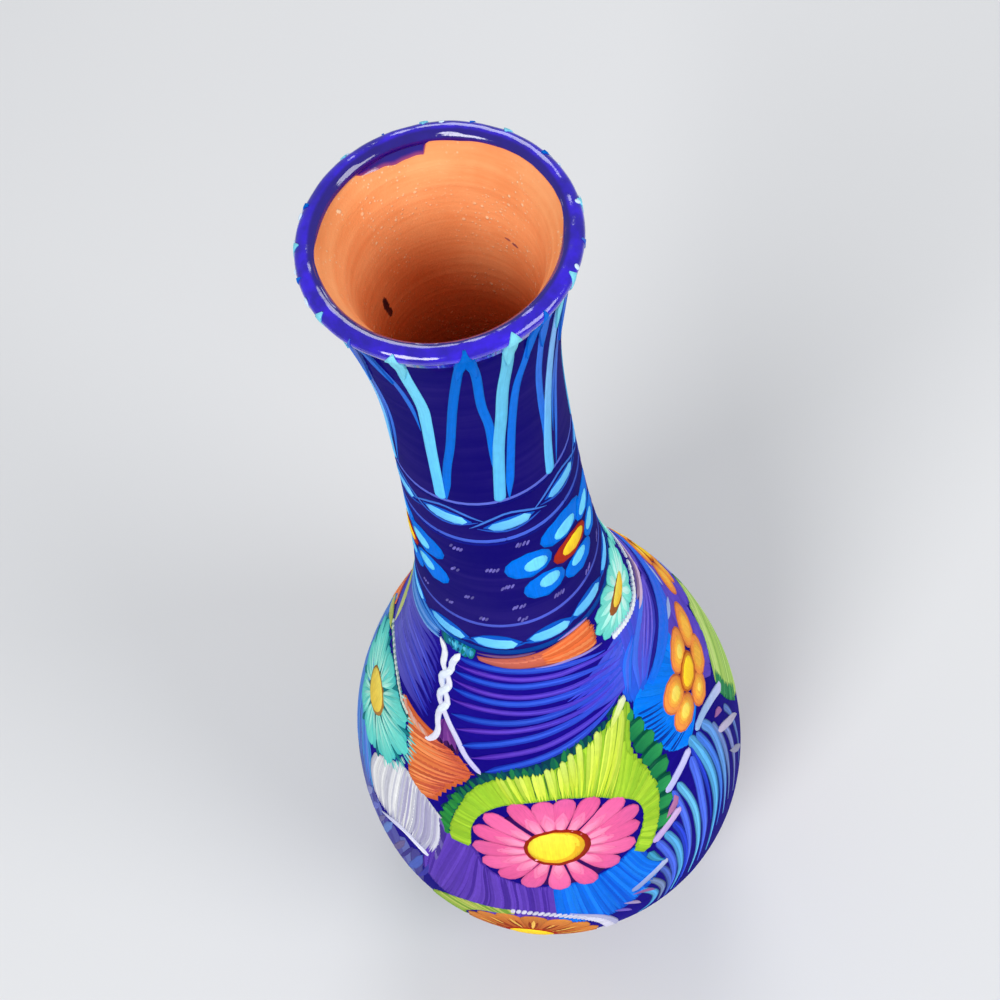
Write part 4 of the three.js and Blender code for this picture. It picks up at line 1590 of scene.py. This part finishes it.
@dataclass
class OrangeFlower(Ornament):
    """The orange flower on its azure fan, right of the crown."""

    name: str = "orange_flower"
    seed: int = 23
    centre: Point = (69.0, 141.2)
    petals: tuple[tuple[float, float, float, float, float], ...] = ((57.0, 145.2, 4.7, 5.2, 1.0),
        (55.8, 136.8, 4.8, 4.7, 1.0), (67.6, 132.4, 4.3, 4.5, 0.6), (73.2, 148.2, 5.7, 4.8, 0.8),
        (78.8, 134.6, 5.2, 4.9, 0.3), (87.0, 142.0, 5.8, 5.4, 0.3))

    def lay(self, brush: Brush) -> None:
        """Paints the fan, then the flower."""
        near = [self.around(7, 6, a) for a in (60, 90, 120, 150, 180, 205, 230, 250)]
        far = [(80, 156.6), (64, 158.4), (50, 160.2), (40.2, 160), (37.8, 151), (39.6, 142),
            (41.8, 134.6), (48.6, 128.4)]
        brush.sweep([near, far], 30, Touch(4.6, POINT, 0.3, BLUNT, 0.04), (0x027CF0, 0x0882F6), WASH,
            wander=0.1)
        brush.sweep([near, far], 56, Touch(1.7, POINT, 0.2, ROUND, 0.1), (0x047CF2, 0x0E86FA, 0x0270E8),
            FIELD, shuffle=True, wander=0.4, fray=0.1, ends=(0x007AF4, 0x0A80F8))
        brush.sweep([[self.around(15, 14, a) for a in (140, 180, 220)],
            [(38.6, 156), (38.6, 144), (43, 132)]], 13, taper(0.7, 0.6, 0.1), (0x063CAA, 0x0A3096),
            FIELD_TOP, wander=0.4)
        right = [self.around(9, 8, a) for a in (70, 40, 10, -20, -50, -80)]
        edge = [(80, 160), (92, 158), (101, 150), (101, 139), (92, 127), (76, 124)]
        brush.sweep([right, edge], 34, Touch(2.6, POINT, 0.2, BLUNT, 0.05),
            (0x6248BE, 0x563CB2, 0x6A54C8), FIELD, shuffle=True, ends=(0x5642C0, 0x604EC8))
        brush.stroke([(82.6, 154.6), (88.6, 152.6), (95, 150)], taper(2.4, 0.4, 0.4), 0x9CB0E0, PETAL)
        for azimuth, side, across, up, glow in self.petals:
            spot = (azimuth, side)
            x = math.radians(azimuth - self.centre[0]) * float(self.skin.radius(side))
            y = side - self.centre[1]
            inward = -0.5 / math.hypot(x, y)
            inner = self.skin.beside(spot, x * inward, y * inward)
            brush.oval(spot, (across + 0.4, up + 0.4), 0xD67042, EDGE, 0.02)
            brush.oval(spot, (across - 0.1, up - 0.1), 0xF49646, PETAL, 0.02)
            brush.oval(inner, (across * 0.74, up * 0.74), 0xF8A642, GLEAM, 0.01)
            brush.oval(inner, (across * 0.56, up * 0.56), 0xFBBA46, HEART_RING, 0.01)
            if glow > 0.5:
                brush.oval(inner, (across * 0.42 * glow, up * 0.44 * glow), 0xFEDE54, HEART, 0.02,
                    0xFFE66E)
        brush.oval(self.centre, (5.3, 4.7), 0xBE5C22, HEART)
        brush.oval(self.centre, (4.7, 4.1), 0xDE8C28, SHINE)
        brush.oval(self.centre, (4.0, 3.2), AMBER, TOP, 0.12, YELLOW)


@dataclass
class BarredFeathers(Ornament):
    """Lilac bars with blue and teal feathers hanging from them, low on the right."""

    name: str = "barred_feathers"
    seed: int = 24

    def lay(self, brush: Brush) -> None:
        """Paints the bars and feathers."""
        teal, sky, violet = 0x54A4DC, 0x60B0E0, 0x4A68E2
        deep, grey = 0x243CBE, 0x6882BE
        bar = Touch(2.9, BLUNT, 0.08, BLUNT, 0.08, 0.1)
        bars = (([(33.6, 122.8), (41, 124.8), (48.8, 126.6)], 0xBEBEF6, 0xD0CCFA),
            ([(23.4, 107.4), (29, 109.8), (35.6, 112.2)], 0xC4AAE2, 0xD6B2E2),
            ([(13.2, 86.6), (19, 90.2), (25.8, 93.6)], 0x8C9CD2, 0xB2BEE2),
            ([(55, 127.6), (62, 126.6), (70, 122), (76.4, 116)], 0x96BAE8, 0xCCCEF6))
        for path, first, last in bars:
            brush.stroke(path, bar, first, PETAL, last, 0.02)
            mid = [(az, side + 0.4) for az, side in path]
            brush.stroke(mid, taper(0.9, 0.2, 0.2), 0xE2DCFA, GLEAM)
        brush.stroke([(62.4, 113.4), (67.6, 107), (72.6, 100), (75.4, 94.6)],
            Touch(2.5, ROUND, 0.2, POINT, 0.4, 0.06), 0xC0B6D2, PETAL, 0xA4A4B8)
        brush.stroke([(62.6, 98), (66.4, 90), (71.4, 79)], taper(2.2, 0.3, 0.4), 0x9698B4, EDGE)
        for path, width, tone in (([(30, 113.2), (35, 116), (35.6, 119)], 2.6, 0xB070A0),
                ([(64.6, 118), (67.4, 116.6), (69, 113.6)], 2.2, 0xA068A0),
                ([(13, 84), (17, 82), (20, 78)], 1.8, 0x96609E),
                ([(10, 80), (13, 77), (15, 73)], 1.6, 0xAA96C4),
                ([(7, 76.6), (10, 73.4), (12, 70)], 1.6, 0x6E5ABE)):
            brush.stroke(path, taper(width, 0.3, 0.4), tone, EDGE)
        feathers = (([(35.6, 121), (36, 112), (35.4, 100), (33, 84), (29, 70)], 2.0, violet),
            ([(38.6, 121.6), (40, 110), (39.5, 99), (36.7, 82), (32, 68)], 2.0, sky),
            ([(47.4, 123.6), (45.8, 113.8), (43.5, 102.7), (41, 88), (36, 70)], 2.7, violet),
            ([(49.4, 126.4), (48.8, 114), (47, 102), (44, 88)], 1.5, deep),
            ([(51, 129.4), (51.8, 119), (51.4, 108), (49, 95), (44.4, 82), (40, 70)], 3.0, teal),
            ([(54.4, 126.6), (55.4, 116), (54.6, 104), (51.6, 92), (46, 78)], 2.2, 0x4276D8),
            ([(58.6, 126), (60.2, 118), (58.4, 106), (55.4, 94), (50, 78)], 2.6, 0x5C90D4),
            ([(62, 119), (61.8, 108), (59, 95), (54, 80)], 2.0, grey),
            ([(66, 111), (66, 102), (63.4, 90), (58, 76)], 2.2, 0x7884BE),
            ([(71, 112), (72, 104), (70, 90), (66, 78)], 1.8, 0x5C78BA),
            ([(24.6, 106.4), (26.4, 98), (27.4, 88), (26.4, 76), (23, 64)], 2.1, violet),
            ([(28, 107.4), (30, 98), (30.2, 88), (29, 78), (25, 66)], 2.1, teal),
            ([(31.6, 108.8), (33, 100), (32.6, 88), (30.4, 76), (26, 64)], 1.9, deep),
            ([(21, 104), (22.6, 98), (25, 94)], 2.2, 0x3A8CB0),
            ([(14.4, 85.6), (18, 80), (20, 73), (18, 66), (14, 62)], 2.0, teal),
            ([(18.6, 88.4), (21.4, 82), (22.6, 74), (20.4, 64)], 1.8, 0x7084B0),
            ([(23.4, 91), (24.8, 84), (25, 74), (22.6, 63)], 1.8, 0x4660B4))
        for path, width, tone in feathers:
            brush.stroke(path, Touch(width + 0.5, ROUND, 0.06, POINT, 0.5), toned(tone, 0.5), WASH)
            brush.stroke(path, Touch(width, ROUND, 0.06, POINT, 0.6, 0.03), tone, FIELD)
            core = [(az + 0.2, side) for az, side in path]
            brush.stroke(core, taper(width * 0.4, 0.2, 0.7), toned(tone, 1.35), FIELD_TOP)


@dataclass
class GreenLeaf(Ornament):
    """The lime leaf beside the feathers."""

    name: str = "green_leaf"
    seed: int = 25

    def lay(self, brush: Brush) -> None:
        """Paints the leaf."""
        brush.sweep([[(76, 118.6), (77, 107), (82, 95), (91, 83)],
            [(84, 123), (86, 110), (91, 96), (95, 81)], [(101, 129), (101, 112), (101, 97), (101, 80)]],
            21, Touch(4.2, BLUNT, 0.1, BLUNT, 0.05), (0x9EC662, 0xACCE6C), FIELD, fray=0.05)
        brush.sweep([[(75, 118), (76, 107), (81, 95), (91, 82)],
            [(84, 123), (86, 110), (91, 96), (95, 80)], [(101, 129), (101, 112), (101, 97), (101, 79)]],
            39, Touch(1.5, POINT, 0.2, ROUND, 0.2), (0xACCE68, 0x92C05C, 0xC0DA7E), FIELD_TOP,
            shuffle=True)
        brush.sweep([[(73.6, 119), (74.6, 109), (79, 96)], [(80, 121), (80, 110), (84, 98)]], 14,
            Touch(2.0, WEDGE, 0.3, POINT, 0.3), (0x42985C, 0x308454), EDGE, shuffle=True)


@dataclass
class TurquoiseFlower(Ornament):
    """The turquoise flower at the left, with a yellow heart and a frayed edge."""

    name: str = "turquoise_flower"
    seed: int = 26
    sides: tuple[Side, ...] = (Side(),)
    centre: Point = (-90.6, 137.2)
    gap: Colour = 0x187A82

    def lay(self, brush: Brush) -> None:
        """Paints the flower and the blue under it."""
        rails = [[(-134, 152), (-120, 150), (-104, 144)], [(-126, 134), (-112, 131), (-94, 126)],
            [(-114, 116), (-100, 113), (-80, 112)], [(-104, 100), (-90, 97), (-74, 97)]]
        brush.sweep(rails, 16, taper(4.6, 0.1, 0.35, 0.0), (0x428ECE, 0x5084D8, 0x5C80DA), WASH,
            wander=0.08)
        brush.sweep(rails, 16, taper(1.2, 0.3, 0.4), (0x589CD8, 0x467AD0, 0x6C8ADE), FIELD, wander=0.3)
        brush.oval(self.centre, (16.4, 17), self.gap, FIELD_TOP, 0.01)
        for i in range(9):
            angle = 8 + 40 * i
            root = (5, 5.6, angle)
            lobes = ((-12.5, 0.93, 5.0), (12.5, 0.94, 5.0), (0, 1.0, 6.4))
            for spread, reach, width in lobes:
                tip = (19.6 * reach, 20.4 * reach, angle + spread)
                brush.stroke(self.spoke(root, tip), Touch(width, FAN, 0.7, ROUND, 0.2, 0.03), 0x8CE6D0,
                    EDGE if spread else PETAL, 0x42BEBE if spread else 0x54CEC6, 0.06)
            for k in range(7):
                spread = (k - 3) * 5.0 + brush.chance.uniform(-1.2, 1.2)
                far = brush.chance.uniform(0.72, 0.96)
                tip = (19 * far, 19.8 * far, angle + spread)
                brush.stroke(self.spoke((6.6, 7, angle + spread * 0.8), tip), taper(1.0, 0.3, 0.5),
                    (0xBEF6E6, 0x9EEAD6, 0x60C4BE)[k % 3], GLEAM, 0x60D6CC)
            brush.stroke(self.spoke((19.6, 20.4, angle + 20), (14.4, 15, angle + 20)),
                Touch(1.7, WEDGE, 0.3, POINT, 0.7), self.gap, GLEAM)
        for i in range(26):
            angle = -40 + i * 4.3 + brush.chance.uniform(-1.2, 1.2)
            far = brush.chance.uniform(1.0, 1.12)
            brush.stroke(self.spoke((18.6, 19.4, angle), (20 * far, 20.8 * far, angle - 2)),
                taper(0.8, 0.3, 0.4), (0xAADED2, 0x5AC8C4)[i % 2], PETAL)
        brush.oval(self.centre, (6.4, 6.9), 0xAA7A3C, HEART_RING)
        brush.oval(self.skin.beside(self.centre, -0.2, 0.1), (5.6, 6.3), 0xF0CC4A, HEART, 0.1, 0xFCE464)
        brush.oval(self.skin.beside(self.centre, -0.6, 0.4), (3.6, 4.6), 0xFCEA6E, SHINE)
        chain = [(-106, 160), (-96, 161.3), (-88.4, 160.1), (-82, 158.2), (-77.2, 155.8), (-73, 154),
            (-69, 153.4)]
        brush.stroke(chain, taper(1.2, 0.1, 0.1), 0x96B2B0, HEART_RING)
        for i in range(20):
            bead = along_rail(chain, i / 19)
            brush.oval(bead, (0.55, 0.7), 0xCEDCD0, HEART)
            brush.oval(self.skin.beside(bead, 0.5, -1.2), (0.5, 0.6), 0x146068, HEART)
        for path in ([(-110, 197), (-110, 186), (-108, 174), (-105, 162)],
                [(-103, 158.4), (-112, 154), (-122, 146), (-128, 140)]):
            brush.stroke(path, taper(3.6, 0.3, 0.3, 0.04), 0xA8B64E, EDGE, 0xC4CC8C)


@dataclass
class LowFlowers(Ornament):
    """Flowers on the underside of the belly, between the lower fields and the foot."""

    name: str = "low_flowers"
    seed: int = 27
    centre: Point = (-18.4, 62.0)

    def lay(self, brush: Brush) -> None:
        """Paints the low flower, its lace and the border of leaves round the foot."""
        brush.oval(self.centre, (16, 16.4), 0x783018, EDGE, 0.01)
        for i in range(14):
            angle = 360 / 14 * i + 6
            root = (6, 6, angle)
            brush.stroke(self.spoke(root, (19, 20, angle)), Touch(7.6, FAN, 0.7, ROUND, 0.24, 0.04),
                0xBA5C2C, PETAL, 0xD6863E)
            for k in (-5, 0, 5):
                mid = (15.6 - abs(k) * 0.3, 16.2 - abs(k) * 0.3, angle + k)
                brush.stroke(self.spoke(root, mid), taper(1.3, 0.3, 0.4), (0xF0BE5A, 0x963A1E)[k % 2],
                    GLEAM)
        brush.oval(self.centre, (7.4, 7.0), RED_BROWN, HEART_RING)
        brush.oval(self.centre, (6.2, 5.8), AMBER, HEART, 0.18, YELLOW)
        inner = [self.around(19.6, 20, a) for a in (186, 160, 130, 100)]
        outer = [self.around(31, 23.6, a) for a in (184, 158, 128, 98)]
        brush.sweep([inner, outer], 44, Touch(1.8, POINT, 0.2, ROUND, 0.2, 0.04),
            (0x98B648, 0x7CA43C, 0xBEC462), EDGE, shuffle=True, wash=0x6A9234)
        for i in range(28):
            a = 100 - i * 4.0
            brush.stroke(self.spoke((20.4, 21.6, a), (23.4, 24.6, a - 2.5)),
                Touch(1.2, ROUND, 0.3, ROUND, 0.3, 0.05), 0xD6D4E6, HEART_RING)
        arc = [self.around(24, 25.2, a) for a in (60, 35, 10, -10)]
        brush.stroke(arc, taper(2.0, 0.3, 0.3, 0.04), 0xB0B0D6, HEART_RING)
        for spot, tone in (((40.0, 47.0), AZURE), ((80.0, 50.0), 0xE868A0), ((-64.0, 44.0), 0x40BEB4)):
            brush.oval(spot, (7.6, 7.6), toned(tone, 0.25), FIELD, 0.01)
            for k in range(7):
                a = 360 / 7 * k + 20
                brush.stroke(self.spoke((2.6, 2.6, a), (9.4, 9.4, a), spot),
                    Touch(6.0, FAN, 0.7, ROUND, 0.3, 0.04), tone, EDGE)
            brush.oval(spot, (3.3, 3.3), RED_BROWN, PETAL)
            brush.oval(spot, (2.4, 2.4), YELLOW, GLEAM, 0.12)
        leaf = taper(4.2, 0.4, 0.5, 0.05)
        tones = (0x285CD2, 0x623CC4, 0x2496AA, 0x96C83C)
        for i in range(17):
            az = -96 + 12 * i
            brush.stroke([(az - 2, 20.5), (az + 3, 26), (az + 1, 32.5)], leaf, tones[i % 4], WASH)
        for i in range(5):
            first = -100 + i * 40
            brush.stroke([(first + j * 10.5, 19.6) for j in range(5)],
                Touch(1.2, ROUND, 0.03, ROUND, 0.03), PERIWINKLE, FIELD)


@dataclass
class LipBlobs(Ornament):
    """Flecks of white and pale blue left on the lip by the brush."""

    name: str = "lip_paint_flecks"
    seed: int = 28
    height: float = 0.25
    spots: tuple[tuple[float, float, float, float], ...] = ((-115, 22, 0.55, 0.9), (-89, 8, 0.35, 0.6),
        (-74, -2, 0.8, 1.1), (91, 44, 0.4, 0.6), (168, 58, 0.5, 0.35), (94, -4, 0.45, 0.8),
        (60, 30, 0.4, 0.6), (140, 20, 0.35, 0.5), (-150, 20, 0.35, 0.5), (112, 20, 0.3, 0.5),
        (-104, -6, 0.3, 0.4))

    def build(self) -> bpy.types.Object:
        """Models the flecks round the lip, each a flattened ball."""
        form = self.skin.form
        deselect_all()
        flecks = []
        for azimuth, lean, across, up in self.spots:
            a, b = math.radians(azimuth), math.radians(lean)
            out = Vector((math.cos(b) * math.sin(a), -math.cos(b) * math.cos(a), math.sin(b)))
            middle = Vector((form.lip_radius * math.sin(a), -form.lip_radius * math.cos(a), form.lip))
            at = middle + Vector((out.x * form.lip_width, out.y * form.lip_width,
                out.z * form.lip_height))
            bpy.ops.mesh.primitive_uv_sphere_add(segments=16, ring_count=10, radius=MM)
            fleck = bpy.context.object
            turn = out.to_track_quat("Z", "Y").to_matrix().to_4x4()
            spread = Matrix.Diagonal((across, up, self.height, 1))
            fleck.data.transform(Matrix.Translation(at * MM) @ turn @ spread)
            flecks.append(fleck)
        deselect_all()
        for fleck in flecks:
            fleck.select_set(True)
        bpy.context.view_layer.objects.active = flecks[0]
        bpy.ops.object.join()
        piece = bpy.context.object
        piece.name = piece.data.name = self.name
        bpy.ops.object.shade_smooth()
        count = len(piece.data.vertices)
        paint = piece.data.attributes.new("paint", "FLOAT_COLOR", "POINT")
        paint.data.foreach_set("color", np.tile(rgba(0xCEE2F4), count))
        place = piece.data.attributes.new("stroke", "FLOAT_VECTOR", "POINT")
        corners = np.zeros(count * 3)
        piece.data.vertices.foreach_get("co", corners)
        place.data.foreach_set("vector", corners * 1000)
        piece.data.materials.clear()
        piece.data.materials.append(self.paint)
        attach(piece, "root")
        LOG.info("%s: %d corners", self.name, count)
        return piece


@dataclass
class Studio:
    """Pale floor, soft lamps and the photograph's camera."""

    camera_at: Triple = (0.0, -0.14873, 0.50098)
    lens: float = 57.6
    yaw: float = 0.18898
    pitch: float = 62.966
    roll: float = -12.515
    lamps: tuple[tuple[str, Triple, float, float], ...] = (("key", (-0.8, -1.0, 1.2), 0.8, 17.0),
        ("fill", (1.1, -0.8, 1.0), 0.9, 11.0), ("back", (0.3, 1.3, 1.2), 0.8, 7.0))

    def build(self) -> None:
        """Sets up the floor, the lamps, the world and the camera."""
        deselect_all()
        bpy.ops.mesh.primitive_circle_add(vertices=96, radius=3.0, fill_type="NGON")
        floor = bpy.context.object
        floor.name = floor.data.name = "floor"
        floor.data.materials.append(PlainFloor().material())
        for name, place, size, power in self.lamps:
            lamp = bpy.data.lights.new(name, "AREA")
            lamp.shape = "DISK"
            lamp.size = size
            lamp.energy = power
            body = bpy.data.objects.new(name, lamp)
            body.location = place
            ahead = Vector((0, 0, 0.15)) - Vector(place)
            body.rotation_euler = ahead.to_track_quat("-Z", "Y").to_euler()
            bpy.context.scene.collection.objects.link(body)
        world = bpy.data.worlds.new("soft_room")
        world.use_nodes = True
        ground = world.node_tree.nodes["Background"]
        ground.inputs["Color"].default_value = (0.92, 0.95, 1.0, 1.0)
        ground.inputs["Strength"].default_value = 0.4
        bpy.context.scene.world = world
        bpy.context.scene.view_settings.view_transform = "Standard"
        self._camera()

    def _camera(self) -> None:
        """Places the camera at the photograph's viewing angle."""
        yaw, pitch, roll = (math.radians(a) for a in (self.yaw, self.pitch, self.roll))
        ahead = Vector((math.sin(yaw) * math.cos(pitch), math.cos(yaw) * math.cos(pitch),
            -math.sin(pitch)))
        level = Vector((math.cos(yaw), -math.sin(yaw), 0))
        over = level.cross(ahead)
        right = math.cos(roll) * level + math.sin(roll) * over
        up = -math.sin(roll) * level + math.cos(roll) * over
        lens = bpy.data.cameras.new("camera")
        lens.lens = self.lens
        lens.sensor_width = 36
        lens.clip_start = 0.01
        camera = bpy.data.objects.new("camera", lens)
        camera.matrix_world = (Matrix.Translation(self.camera_at)
            @ Matrix((right, up, -ahead)).transposed().to_4x4())
        bpy.context.scene.collection.objects.link(camera)
        bpy.context.scene.camera = camera


def main() -> None:
    """Builds the vase's clay, coats and ornament, then the studio."""
    logging.basicConfig(level=logging.INFO, format="%(message)s")
    skin = VaseSkin(VaseForm())
    ClayBody(skin).build(BareClay().material())
    GroundCoats(skin).build()
    paint = BrushPaint().material()
    tool = DabTool()
    kinds: tuple[Callable[..., Ornament], ...] = (NeckRings, HangingStrokes, NeckTicks, NeckFlowers,
        CollarBand, SwagStrokes, SideArcs, RopeOrnament, OrangeFan, WhiteFeather, TurquoiseFlower,
        LowerFields, LimeCrown, PinkDaisy, OrangeFlower, BarredFeathers, GreenLeaf, LowFlowers, LipBlobs)
    for kind in kinds:
        kind(skin, tool, paint).build()
    Studio().build()


if __name__ == "__main__":
    main()
